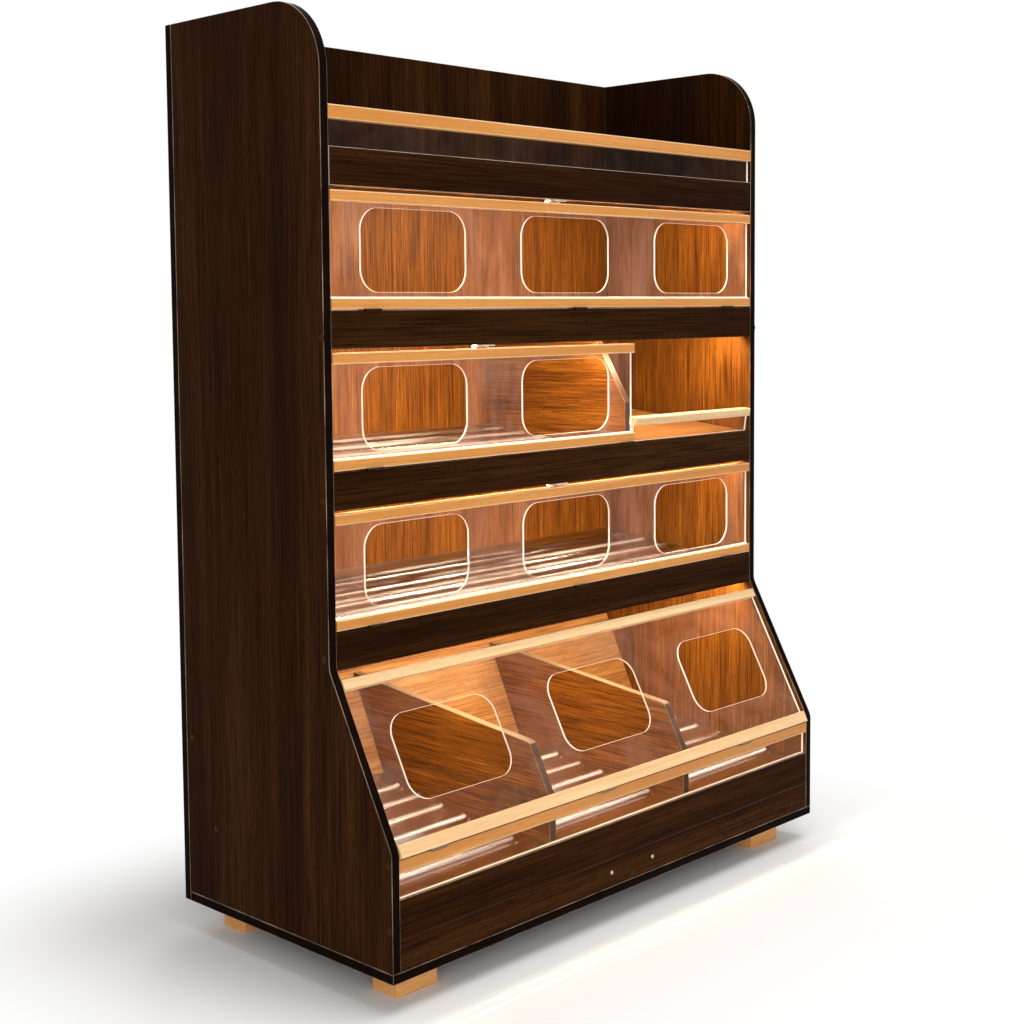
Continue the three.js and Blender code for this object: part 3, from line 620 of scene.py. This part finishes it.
def strip(name, node, body, front, bottom, height, left, right, groove_up, turn=UPRIGHT, nib=0,
          wood=beech_across):
    """Beech strip: eased corners, the front ones paler as a painted highlight, and a groove for the pane in
    its top or underside.
    A nib reaches over the hinge line from its other side: a thin lip below it, or a slope above it."""
    back = front + STRIP
    top = bottom + height
    near, far = groove(front)
    edge = STRIP_EDGE
    if groove_up:
        floor = top - GROOVE_DEEP
        corners = [(back, bottom, edge), (back, top, edge), (far, top, 0), (far, floor, 0), (near, floor, 0),
                   (near, top, 0), (front, top, edge)]
        if nib:
            corners += [(front, bottom - nib, NIB_EDGE), (front + NIB, bottom - nib, NIB_EDGE),
                        (front + NIB, bottom, 0)]
        else:
            corners.append((front, bottom, edge))
    else:
        roof = bottom + GROOVE_DEEP
        corners = [(front, bottom, edge), (near, bottom, 0), (near, roof, 0), (far, roof, 0),
                   (far, bottom, 0), (back, bottom, edge), (back, top, edge)]
        if nib:
            corners += [(front + nib / tan(slant_angle), top, 0), (front, top + nib, NIB_EDGE)]
        else:
            corners.append((front, top, edge))
    bm = bmesh.new()
    drawn_along_x(bm, rounded(corners), left, right, turn)
    bmesh.ops.recalc_face_normals(bm, faces=bm.faces)
    turn_back = turn.to_3x3().inverted()
    for face in bm.faces:
        facing = turn_back @ face.normal
        if facing.y < -SLANTED and abs(facing.z) > SLANTED:
            face.material_index = RUBBED_HIGHLIGHT
    soften(bm)
    piece(name, bm, body, [wood, lit_pale_beech_across], [node])


# Order of the finishes on a pane. The polished bevel belongs to the cut, so only flat faces are sheet.
SHEET, CUT = range(2)
FLAT = 0.99


def pane(name, node, body, left, right, bottom, top, front, holes=(), turn=UPRIGHT, finish=acrylic):
    """Acrylic pane standing in XZ, with rounded hand holes (middle x, middle z, width, height, radius)."""
    ease = PANE_POLISH
    loops = [rectangle(left + ease, right - ease, bottom + ease, top - ease)]
    for x, z, width, height, radius in holes:
        half_w = width / 2 + ease
        half_h = height / 2 + ease
        loops.append(rectangle(x - half_w, x + half_w, z - half_h, z + half_h, radius + ease))
    curve = bpy.data.curves.new(name, "CURVE")
    curve.dimensions = "2D"
    curve.fill_mode = "BOTH"
    curve.extrude = PANE / 2 - ease
    curve.bevel_depth = ease
    curve.bevel_resolution = 1
    for corners in loops:
        points = rounded(corners, HOLE_STEPS)
        spline = curve.splines.new("POLY")
        spline.points.add(len(points) - 1)
        for point, place in zip(spline.points, points):
            point.co = (place.x, place.y, 0, 1)
        spline.use_cyclic_u = True
    drawn = bpy.data.objects.new(name, curve)
    mesh = bpy.data.meshes.new_from_object(drawn)
    bm = bmesh.new()
    bm.from_mesh(mesh)
    bpy.data.objects.remove(drawn)
    bpy.data.curves.remove(curve)
    bpy.data.meshes.remove(mesh)
    bmesh.ops.remove_doubles(bm, verts=bm.verts, dist=MERGE)
    for face in bm.faces:
        face.material_index = SHEET if abs(face.normal.z) > FLAT else CUT
    stand = turn @ Matrix.Translation((0, front + PANE / 2, 0)) @ Matrix.Rotation(pi / 2, 4, "X")
    bmesh.ops.transform(bm, matrix=stand, verts=bm.verts)
    bmesh.ops.recalc_face_normals(bm, faces=bm.faces)
    soften(bm)
    piece(name, bm, body, [finish, glowing_milled_edge], [node])


def bead(name, body, front, foot, left, right):
    """Silicone bead on both sides of a pane's foot, whose glow is painted light."""
    bm = bmesh.new()
    back = front + PANE
    drawn_along_x(bm, [(front - BEAD, foot), (front, foot), (front, foot + BEAD)], left, right)
    drawn_along_x(bm, [(back, foot), (back + BEAD, foot), (back, foot + BEAD)], left, right)
    bmesh.ops.recalc_face_normals(bm, faces=bm.faces)
    piece(name, bm, body, [glowing_silicone])


# Cabinet boards. The side panels and the back are walnut inside, up to the trough, which is partly painted
# light.
DARK_UPRIGHT = [wenge_upright, lamplit_walnut_upright, dark_edging, highlight_scraped_line]
PLINTH = [wenge_across, wenge_across, dark_edging, dull_line]
SHADED_FLOOR_ACROSS = [shaded_walnut_across, lamplit_walnut_across, lamplit_pale_edging, lamplit_pale_edging]
BRIGHT_LIT_ACROSS = [bright_lit_walnut_across, lamplit_walnut_across, lamplit_pale_edging, lamplit_pale_edging]
LIT_AND_SHADED_INWARD = [lamplit_walnut_inward, lamplit_walnut_inward, shaded_brown_edging, lamplit_pale_edging, lamplit_pale_edging]
floor_up = (0, -sin(FLOOR_SLOPE), cos(FLOOR_SLOPE))
bin_back_out = (0, -1, 0.55)
board("left_side_panel", (-1, 0, 0), DARK_UPRIGHT, split=shelf_top)
board("right_side_panel", (1, 0, 0), DARK_UPRIGHT, split=shelf_top)
board("back_panel", (0, 1, 0), DARK_UPRIGHT, split=shelf_top)
board("base_board", (0, 0, -1), [wenge_across, wenge_across, dark_edging, highlight_scraped_line])
board("plinth_lower_board", (0, -1, 0), PLINTH)
board("plinth_upper_board", (0, -1, 0), [*PLINTH, lamplit_pale_edging])
board("top_shelf", (0, 0, 1), [wenge_across, lamplit_walnut_across, dark_edging, dull_line])
# The tier floors' darker walnut is painted shade under the trays.
for tier in TIERS:
    board(f"tier_{tier}_floor", floor_up, SHADED_FLOOR_ACROSS)
board("bin_floor", floor_up, [lamplit_walnut_across, *SHADED_FLOOR_ACROSS[1:]])
# The open section's floor and the bins' back get the lighter walnut, which is painted light.
board("open_section_floor", floor_up, BRIGHT_LIT_ACROSS)
board("bin_back_board", bin_back_out, BRIGHT_LIT_ACROSS)
for name in ("bin_divider_left", "bin_divider_right", "tier_2_divider"):
    board(name, (1, 0, 0), LIT_AND_SHADED_INWARD)

# The valances' darker wenge is painted shade.
VALANCE = [shaded_wenge_across, shaded_wenge_across, dark_edging, dull_line, lamplit_pale_edging]
# The valances' pale underside edging is painted light, and the top valance's pale line is a painted
# highlight.
TOP_VALANCE = [shaded_wenge_across, shaded_wenge_across, dark_edging, highlight_pale_line, lamplit_pale_edging]


def valance(number):
    """Valance board, drawn whole. The top one has broader eased edges and a groove for the trough's pane."""
    node = f"valance_{number}"
    is_top = number == VALANCES[0]
    lip = lips[number - 1]
    low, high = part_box(node)
    back = upper_front + BOARD
    outline = [(upper_front, low.z), (back, low.z), (back, lip)]
    if is_top:
        near, far = groove(upper_front)
        outline += [(far, lip), (far, lip - GROOVE_DEEP), (near, lip - GROOVE_DEEP), (near, lip)]
    outline.append((upper_front, lip))
    bm = bmesh.new()
    drawn_along_x(bm, outline, low.x, high.x)
    bmesh.ops.recalc_face_normals(bm, faces=bm.faces)
    for face in bm.faces:
        edging = LIT_OWN_EDGE if face.normal.z < -FACING else EDGE
        face.material_index = FRONT if abs(face.normal.y) > FACING else edging
    outer = [e for e in bm.edges if e.calc_face_angle_signed(0) > EASED]
    ease_edges(bm, outer, ARRIS if is_top else ARRIS / 2, LINE)
    soften(bm)
    piece(node + "_board", bm, "cabinet", TOP_VALANCE if is_top else VALANCE, [node])


for number in VALANCES:
    valance(number)

# Feet: beech blocks with eased edges, in the lighter beech, painted light for blocks that stand in shade.
for name in ("foot_front_left", "foot_front_right", "foot_rear_left", "foot_rear_right"):
    bm = node_bmesh(name)
    ease_edges(bm, sharp_edges(bm), ARRIS, WOOD)
    soften(bm)
    piece(name + "_block", bm, "cabinet", [lit_oiled_beech_across], [name])


def tier_flap(tier):
    """A tier's flap: two strips, a pane with a hand hole for each section that it closes, and the bead."""
    body = f"tier_{tier}_flap"
    lip = lips[tier]
    left = inner_left + FLAP_SIDE_GAP
    right = SHORT_FLAP_RIGHT if tier == OPEN_TIER else inner_right - FLAP_SIDE_GAP
    bottom = lip + HINGE_GAP
    top = lip + FLAP_HEIGHT
    strip(body + "_lower_rail", body + "_bottom_strip", body, upper_front, bottom, STRIP, left, right,
          groove_up=True)
    strip(body + "_upper_rail", body + "_top_strip", body, upper_front, top - STRIP, STRIP, left, right,
          groove_up=False)
    holes = [(x, lip + HAND_HOLE_UP, *HAND_HOLE) for x in middles if x < right]
    pane(body + "_sheet", body + "_pane", body, left + PANE_END_GAP, right - PANE_END_GAP,
         bottom + STRIP - GROOVE_DEEP + FIT, top - STRIP + GROOVE_DEEP - FIT, upper_front + PANE_SETBACK,
         holes)
    bead(body + "_glowing_bead", body, upper_front + PANE_SETBACK, bottom + STRIP, left, right)


for tier in TIERS:
    tier_flap(tier)

# Bin flap, in the slanted front's own frame.
bin_left = inner_left + FLAP_SIDE_GAP
bin_right = inner_right - FLAP_SIDE_GAP
bin_pane_bottom = BIN_FLAP_BOTTOM + BIN_STRIP
bin_pane_top = BIN_FLAP_TOP - STRIP
bin_middle = (bin_pane_bottom + bin_pane_top) / 2
# The bin flap's strips are the paler beech, which is painted light.
strip("bin_flap_lower_rail", "bin_flap_bottom_strip", "bin_flap", 0, BIN_FLAP_BOTTOM, BIN_STRIP,
      bin_left, bin_right, groove_up=True, turn=slant, nib=BIN_NIB, wood=lit_pale_beech_across)
strip("bin_flap_upper_rail", "bin_flap_top_strip", "bin_flap", 0, bin_pane_top, STRIP,
      bin_left, bin_right, groove_up=False, turn=slant, wood=lit_pale_beech_across)
pane("bin_flap_sheet", "bin_flap_pane", "bin_flap", bin_left + PANE_END_GAP, bin_right - PANE_END_GAP,
     bin_pane_bottom - GROOVE_DEEP + FIT, bin_pane_top + GROOVE_DEEP - FIT, PANE_SETBACK,
     [(x, bin_middle, *BIN_HAND_HOLE) for x in middles], slant, bin_acrylic)

# Fixed clear pieces and their strips: the bin window, the trough's fence and the open section's low fence.
span_left = inner_left + FIT
span_right = inner_right - FIT
rail_front = lower_front + RAIL_SETBACK
strip("bin_front_rail", "bin_rail", "cabinet", rail_front, base_under + RAIL_BOTTOM, RAIL_TOP - RAIL_BOTTOM,
      span_left, span_right, groove_up=False, nib=RAIL_NIB)
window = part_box("bin_window")
pane("bin_front_sheet", "bin_window", "cabinet", span_left, span_right, window[0].z, window[1].z,
     rail_front + PANE_SETBACK, finish=clean_acrylic)
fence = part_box("trough_fence_pane")
pane("trough_fence_sheet", "trough_fence_pane", "cabinet", span_left, span_right, fence[0].z, fence[1].z,
     upper_front + PANE_SETBACK, finish=clean_acrylic)
strip("trough_fence_rail", "trough_fence_strip", "cabinet", upper_front, lips[0] + FENCE_OPEN, FENCE_STRIP,
      span_left, span_right, groove_up=False)
pane("open_fence_sheet", "open_section_fence_pane", "cabinet", OPEN_FENCE_LEFT + FLAP_SIDE_GAP, span_right,
     2 * FIT, OPEN_FENCE_UP + GROOVE_DEEP - FIT, -PANE / 2, turn=open_fence, finish=clean_acrylic)
# The open fence's rail is the paler beech, which is painted light.
strip("open_fence_rail", "open_section_fence_strip", "cabinet", -PANE_SETBACK - PANE / 2, OPEN_FENCE_UP,
      OPEN_FENCE_STRIP, OPEN_FENCE_LEFT, span_right, groove_up=False, turn=open_fence,
      wood=lit_pale_beech_across)

# Ribbed trays. The steps set how finely a rib is drawn: across it, over its round ends and along it.
RIB_PITCH = 66 * MM
RIB_HALF = 22 * MM
RIB_TOP = 15 * MM
RIB_FROM_LEFT = 16 * MM
RIB_FROM_RIGHT = 24 * MM
TRAY_FRONT = 3 * MM
TRAY_SHEET = 3 * MM
ACROSS_STEPS = 10
END_STEPS = 9
MIDDLE_STEPS = 24


def tray(node, floor, plastic):
    """Vacuum-formed tray: one sheet with long hollow ribs, whose round ends lie inside its edges."""
    low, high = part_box(node)
    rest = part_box(floor)
    lie = Matrix.Translation((0, rest[0].y, rest[0].z + BOARD)) @ Matrix.Rotation(FLOOR_SLOPE, 4, "X")
    back = (high.y - rest[0].y) / cos(FLOOR_SLOPE)
    ribs = int((back - TRAY_FRONT - RIB_HALF) // RIB_PITCH)
    first = (TRAY_FRONT + back - (ribs - 1) * RIB_PITCH) / 2
    rib_left = low.x + RIB_FROM_LEFT + RIB_HALF
    rib_right = high.x - RIB_FROM_RIGHT - RIB_HALF
    rise = RIB_TOP - FIT - TRAY_SHEET
    curve = (RIB_HALF ** 2 + rise ** 2) / (2 * rise)
    foot = asin(RIB_HALF / curve)
    columns = {low.x, high.x}
    for end, outward in ((rib_left, -1), (rib_right, 1)):
        columns |= {end + outward * curve * sin(foot * step / END_STEPS) for step in range(END_STEPS + 1)}
    columns |= {rib_left + (rib_right - rib_left) * step / MIDDLE_STEPS for step in range(MIDDLE_STEPS)}
    rows = {TRAY_FRONT, back}
    for rib in range(ribs):
        middle = first + rib * RIB_PITCH
        rows |= {middle + curve * sin(foot * step / ACROSS_STEPS)
                 for step in range(-ACROSS_STEPS, ACROSS_STEPS + 1)}
    columns, rows = sorted(columns), sorted(rows)

    def height(x, y, wall, flat):
        """Height over the floor of a face that is wall deep inside the ribs, and at flat between them."""
        nearest = first + RIB_PITCH * min(max(round((y - first) / RIB_PITCH), 0), ribs - 1)
        beyond = max(rib_left - x, x - rib_right, 0)
        away = hypot(beyond, y - nearest)
        swell = sqrt(max((curve - wall) ** 2 - away ** 2, 0)) - (curve - rise)
        return FIT + TRAY_SHEET + swell if swell > 0 else flat

    bm = bmesh.new()
    layers = []
    for wall, flat in ((0, FIT + TRAY_SHEET), (TRAY_SHEET, FIT)):
        layers.append([[bm.verts.new(lie @ Vector((x, y, height(x, y, wall, flat)))) for x in columns]
                       for y in rows])
    for layer in layers:
        for j in range(len(rows) - 1):
            for i in range(len(columns) - 1):
                bm.faces.new((layer[j][i], layer[j][i + 1], layer[j + 1][i + 1], layer[j + 1][i]))
    top, under = layers
    rim = ([(0, i) for i in range(len(columns))] + [(j, len(columns) - 1) for j in range(1, len(rows))]
           + [(len(rows) - 1, i) for i in range(len(columns) - 2, -1, -1)]
           + [(j, 0) for j in range(len(rows) - 2, 0, -1)])
    for (j0, i0), (j1, i1) in zip(rim, rim[1:] + rim[:1]):
        bm.faces.new((top[j0][i0], top[j1][i1], under[j1][i1], under[j0][i0]))
    bmesh.ops.recalc_face_normals(bm, faces=bm.faces)
    soften(bm, TRAY_CREASE)
    piece(node + "_sheet", bm, "cabinet", [plastic], [node])


for tier in TIERS:
    tray(f"tier_{tier}_tray", f"tier_{tier}_floor", petg)
for side in ("left", "middle", "right"):
    tray(f"bin_tray_{side}", "bin_floor", bin_petg)

# Catches: the white nylon block and tab with eased edges, shorter than the node, whose middle they keep to.
CATCH_LEFT = -10 * MM
CATCH_RIGHT = 26 * MM
CATCH_EASE = 0.6 * MM
NYLON = 0
for tier in TIERS:
    node = f"tier_{tier}_catch"
    low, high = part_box(node)
    middle = (low.x + high.x) / 2
    bm = node_bmesh(node)
    for vert in bm.verts:
        vert.co.x = middle + (CATCH_LEFT if vert.co.x < middle else CATCH_RIGHT)
    ease_edges(bm, sharp_edges(bm), CATCH_EASE, NYLON)
    soften(bm)
    piece(node + "_block", bm, "cabinet", [white_nylon], [node])

# Butt hinges, from their pivot lines. Their places are measured from the left side panel's outer face.
KNUCKLE = 2.6 * MM
KNUCKLE_SIDES = 20
HINGE_HALF = 20 * MM
HINGE_MIDDLE = 9.7 * MM
LEAF = 0.85 * MM
LEAF_REACH = 18 * MM
LEAF_CLEAR = 3.2 * MM
BIN_LEAF_REACH = 13 * MM
PIVOT_OUT = 2.9 * MM
BIN_PIVOT_OUT = 0.6 * MM
BIN_PIVOT_UP = 219.5 * MM
LONG_FLAP_HINGES = [114 * MM, 680 * MM, 1190 * MM]
SHORT_FLAP_HINGES = [114 * MM, 832 * MM]
BIN_HINGES = [114 * MM, 580 * MM, 1043 * MM]
fixed_ends = [(-HINGE_HALF, -HINGE_MIDDLE - FIT), (HINGE_MIDDLE + FIT, HINGE_HALF)]
moving_middle = [(-HINGE_MIDDLE, HINGE_MIDDLE)]


def hinge_leaf(name, body, middle, pivot, plate, tongue, knuckles, finish, turn=UPRIGHT):
    """One leaf: its plate on the wood, and a tongue and a rolled knuckle for each stretch of the barrel."""
    bm = bmesh.new()

    def bar(y0, z0, y1, z1, left, right):
        drawn_along_x(bm, [(y0, z0), (y1, z0), (y1, z1), (y0, z1)], middle + left, middle + right, turn)

    bar(*plate, -HINGE_HALF, HINGE_HALF)
    barrel = [(pivot[0] + y, pivot[1] + z) for y, z in circle(KNUCKLE, KNUCKLE_SIDES)]
    for left, right in knuckles:
        bar(*tongue, left, right)
        drawn_along_x(bm, barrel, middle + left, middle + right, turn)
    bmesh.ops.recalc_face_normals(bm, faces=bm.faces)
    soften(bm)
    piece(name, bm, body, [finish])


# The tier hinges' near-black is painted shade.
for tier in TIERS:
    lip = lips[tier]
    pivot = (upper_front - PIVOT_OUT, lip + HINGE_GAP / 2)
    near = pivot[0] + LEAF_CLEAR
    far = pivot[0] + LEAF_REACH
    above = lip + HINGE_GAP
    places = SHORT_FLAP_HINGES if tier == OPEN_TIER else LONG_FLAP_HINGES
    for count, from_left in enumerate(places, 1):
        middle = left_panel[0].x + from_left
        name = f"tier_{tier}_hinge_{count}"
        hinge_leaf(name + "_fixed_leaf", "cabinet", middle, pivot, (near, lip, far, lip + LEAF),
                   (pivot[0], lip, near, lip + LEAF), fixed_ends, shaded_bronzed)
        hinge_leaf(name + "_moving_leaf", f"tier_{tier}_flap", middle, pivot,
                   (near, above - LEAF, far, above),
                   (pivot[0], above - LEAF, near, above), moving_middle, shaded_bronzed)

bin_pivot = Vector((0, lower_front - BIN_PIVOT_OUT, base_under + BIN_PIVOT_UP))
rail_top = base_under + RAIL_TOP
slant_pivot = slant.inverted() @ bin_pivot
for count, from_left in enumerate(BIN_HINGES, 1):
    middle = left_panel[0].x + from_left
    name = f"bin_hinge_{count}"
    hinge_leaf(name + "_fixed_leaf", "cabinet", middle, bin_pivot.yz,
               (bin_pivot.y, rail_top, bin_pivot.y + BIN_LEAF_REACH, rail_top + LEAF),
               (bin_pivot.y + KNUCKLE - LEAF, rail_top, bin_pivot.y + KNUCKLE, bin_pivot.z),
               fixed_ends, shaded_dull_steel)
    hinge_leaf(name + "_moving_leaf", "bin_flap", middle, slant_pivot.yz,
               (slant_pivot.y, BIN_FLAP_BOTTOM - LEAF, slant_pivot.y + BIN_LEAF_REACH, BIN_FLAP_BOTTOM),
               (slant_pivot.y - LEAF, slant_pivot.z, slant_pivot.y, BIN_FLAP_BOTTOM),
               moving_middle, shaded_dull_steel, slant)

# Screw covers and dome heads: radius, height and finish. Their places, in millimetres, are measured from the
# side panel's front edge and the base's underside, or on the plinth from the left and the base's underside.
COVER = (6.5 * MM, 1.5 * MM, brown_cover)
HEAD = (4.2 * MM, 2.4 * MM, nickel)
SIDE_COVERS = [(583, 334), (510, 166), (165, 1124), (168, 835), (173, 550), (8, 211), (8, 95)]
PLINTH_COVERS = [(51, 40), (650, 30), (1222, 40)]
PLINTH_HEADS = [(589, 46), (718, 46)]
DOME_RINGS = 6
DOME_SIDES = 28


def dome(name, place, outward, radius, height, finish):
    """A shallow round head lying on a face, its crown towards outward."""
    bm = bmesh.new()
    turn = Matrix.Translation(place) @ Vector(outward).to_track_quat("Z", "Y").to_matrix().to_4x4()
    rings = []
    for ring in range(DOME_RINGS):
        angle = pi / 2 * ring / DOME_RINGS
        rings.append([bm.verts.new(turn @ Vector((x, y, height * sin(angle))))
                      for x, y in circle(radius * cos(angle), DOME_SIDES)])
    crown = bm.verts.new(turn @ Vector((0, 0, height)))
    bm.faces.new(rings[0][::-1])
    for inner, outer in zip(rings[1:], rings):
        for s in range(DOME_SIDES):
            bm.faces.new((outer[s - 1], outer[s], inner[s], inner[s - 1]))
    for s in range(DOME_SIDES):
        bm.faces.new((rings[-1][s - 1], rings[-1][s], crown))
    bmesh.ops.recalc_face_normals(bm, faces=bm.faces)
    soften(bm)
    piece(name, bm, "cabinet", [finish])


for count, (y, z) in enumerate(SIDE_COVERS, 1):
    place = (lower_front + y * MM, base_under + z * MM)
    dome(f"left_screw_cover_{count}", (left_panel[0].x, *place), (-1, 0, 0), *COVER)
    dome(f"right_screw_cover_{count}", (right_panel[1].x, *place), (1, 0, 0), *COVER)
plinth_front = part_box("plinth_lower_board")[0].y
for kind, places, look in (("cover", PLINTH_COVERS, COVER), ("head", PLINTH_HEADS, HEAD)):
    for count, (x, z) in enumerate(places, 1):
        place = (left_panel[0].x + x * MM, plinth_front, base_under + z * MM)
        dome(f"plinth_screw_{kind}_{count}", place, (0, -1, 0), *look)

# CAD nodes whose shape is right keep it, and get their finish. Each valance has a lamp behind it. The lamps
# of the open tier and of the bins are the strong ones.
STRONG_LAMPS = (2, 4)
for row in VALANCES:
    opal = strong_lamp_cover if row in STRONG_LAMPS else lamp_cover
    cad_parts[f"light_channel_{row}"].material_slots[0].material = anodised
    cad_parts[f"light_cover_{row}"].material_slots[0].material = opal
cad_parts["lamp_driver"].material_slots[0].material = grey_case

# Camera, at the photograph's viewing angle. Its place is in metres. Its axis meets the picture at AXIS_ROW.
PICTURE = 1024
CAMERA_PLACE = Vector((-2.4598, -2.3370, 1.2305))
CAMERA_YAW = radians(46.2494)
CAMERA_PITCH = radians(-4.3122)
CAMERA_ROLL = radians(-0.4561)
FOCAL_PIXELS = 1604.91
AXIS_ROW = 430
SENSOR = 36
camera = bpy.data.cameras.new("camera")
camera.sensor_width = SENSOR
camera.lens = FOCAL_PIXELS * SENSOR / PICTURE
camera.shift_y = (AXIS_ROW - PICTURE / 2) / PICTURE
viewer = bpy.data.objects.new("camera", camera)
viewer.matrix_world = (Matrix.Translation(CAMERA_PLACE)
                       @ Matrix.Rotation(-CAMERA_YAW, 4, "Z")
                       @ Matrix.Rotation(pi / 2 + CAMERA_PITCH, 4, "X")
                       @ Matrix.Rotation(CAMERA_ROLL, 4, "Z"))
scene.collection.objects.link(viewer)
bpy.context.scene.camera = viewer

# Studio, in metres: a pale floor, a white surround and soft lamps. A line of sight crosses many clear ribs,
# one behind another, so it may pass CLEAR_FACES.
FLOOR_SIZE = 60
FLOOR_COLOUR = "#F4F2EF"
SHADOW_REACH = (0.02, 0.55)
SURROUND_LIGHT = 0.45
CLEAR_FACES = 40
scene.view_settings.view_transform = "Standard"
scene.cycles.transparent_max_bounces = CLEAR_FACES


def seen_rays(tree):
    """1 for rays that show a surface to the eye, straight or in a mirror or a pane, and 0 for light."""
    ray = add(tree, "LightPath").node.outputs
    seen = add(tree, "Math", {0: ray["Is Camera Ray"], 1: ray["Is Glossy Ray"]}, operation="MAXIMUM")
    return add(tree, "Math", {0: seen, 1: ray["Is Transmission Ray"]}, operation="MAXIMUM")


def pale_floor():
    """Pale floor: it takes the object's shadow, and runs out into the white surround past its footprint."""
    made, tree = new_material("pale_floor")
    place = add(tree, "TexCoord", out="Object")
    foot_half = ((cad_box[1] - cad_box[0]) / 2).to_2d().to_3d()
    off_middle = add(tree, "VectorMath", {0: place}, operation="ABSOLUTE")
    past_edge = add(tree, "VectorMath", {0: off_middle, 1: foot_half}, operation="SUBTRACT")
    outside = add(tree, "VectorMath", {0: past_edge, 1: (0, 0, 0)}, operation="MAXIMUM")
    away = add(tree, "VectorMath", {0: outside}, out="Value", operation="LENGTH")
    fade = add(tree, "MapRange", {
        "Value": away, "From Min": SHADOW_REACH[0], "From Max": SHADOW_REACH[1]},
        interpolation_type="SMOOTHSTEP")
    white = add(tree, "Math", {0: fade, 1: seen_rays(tree)}, operation="MULTIPLY")
    matt = add(tree, "BsdfDiffuse", {"Color": linear(FLOOR_COLOUR)})
    glow = add(tree, "Emission", {"Strength": 1.0})
    both = add(tree, "MixShader", {0: white, 1: matt, 2: glow})
    add(tree, "OutputMaterial", {"Surface": both})
    return made


ground = bmesh.new()
bmesh.ops.create_grid(ground, x_segments=1, y_segments=1, size=FLOOR_SIZE / 2)
floor_mesh = bpy.data.meshes.new("studio_floor")
ground.to_mesh(floor_mesh)
ground.free()
floor_mesh.materials.append(pale_floor())
floor = bpy.data.objects.new("studio_floor", floor_mesh)
scene.collection.objects.link(floor)

world = bpy.data.worlds.new("studio")
scene.world = world
world.use_nodes = True
sky = world.node_tree
sky.nodes.clear()
level = add(sky, "MapRange", {"Value": seen_rays(sky), "To Min": SURROUND_LIGHT, "To Max": 1.0})
surround = add(sky, "Background", {"Color": WHITE, "Strength": level})
add(sky, "OutputWorld", {"Surface": surround})


def soft_lamp(name, place, target, size, watts):
    """A square area lamp that faces a point."""
    lamp = bpy.data.lights.new(name, "AREA")
    lamp.size = size
    lamp.energy = watts
    stand = bpy.data.objects.new(name, lamp)
    stand.location = place
    stand.rotation_euler = (Vector(target) - Vector(place)).to_track_quat("-Z", "Y").to_euler()
    scene.collection.objects.link(stand)


soft_lamp("key_lamp", place=(-3.4, -3.4, 1.6), target=(0, 0, 0.7), size=2.4, watts=85)
soft_lamp("fill_lamp", place=(0.6, -4.2, 3.4), target=(0, 0, 0.9), size=2.0, watts=10)
soft_lamp("top_lamp", place=(0.2, -1.1, 4.4), target=(0, -0.2, 0.6), size=2.4, watts=95)
soft_lamp("back_lamp", place=(3.2, 3.0, 2.2), target=(0, 0, 0.8), size=2.4, watts=60)
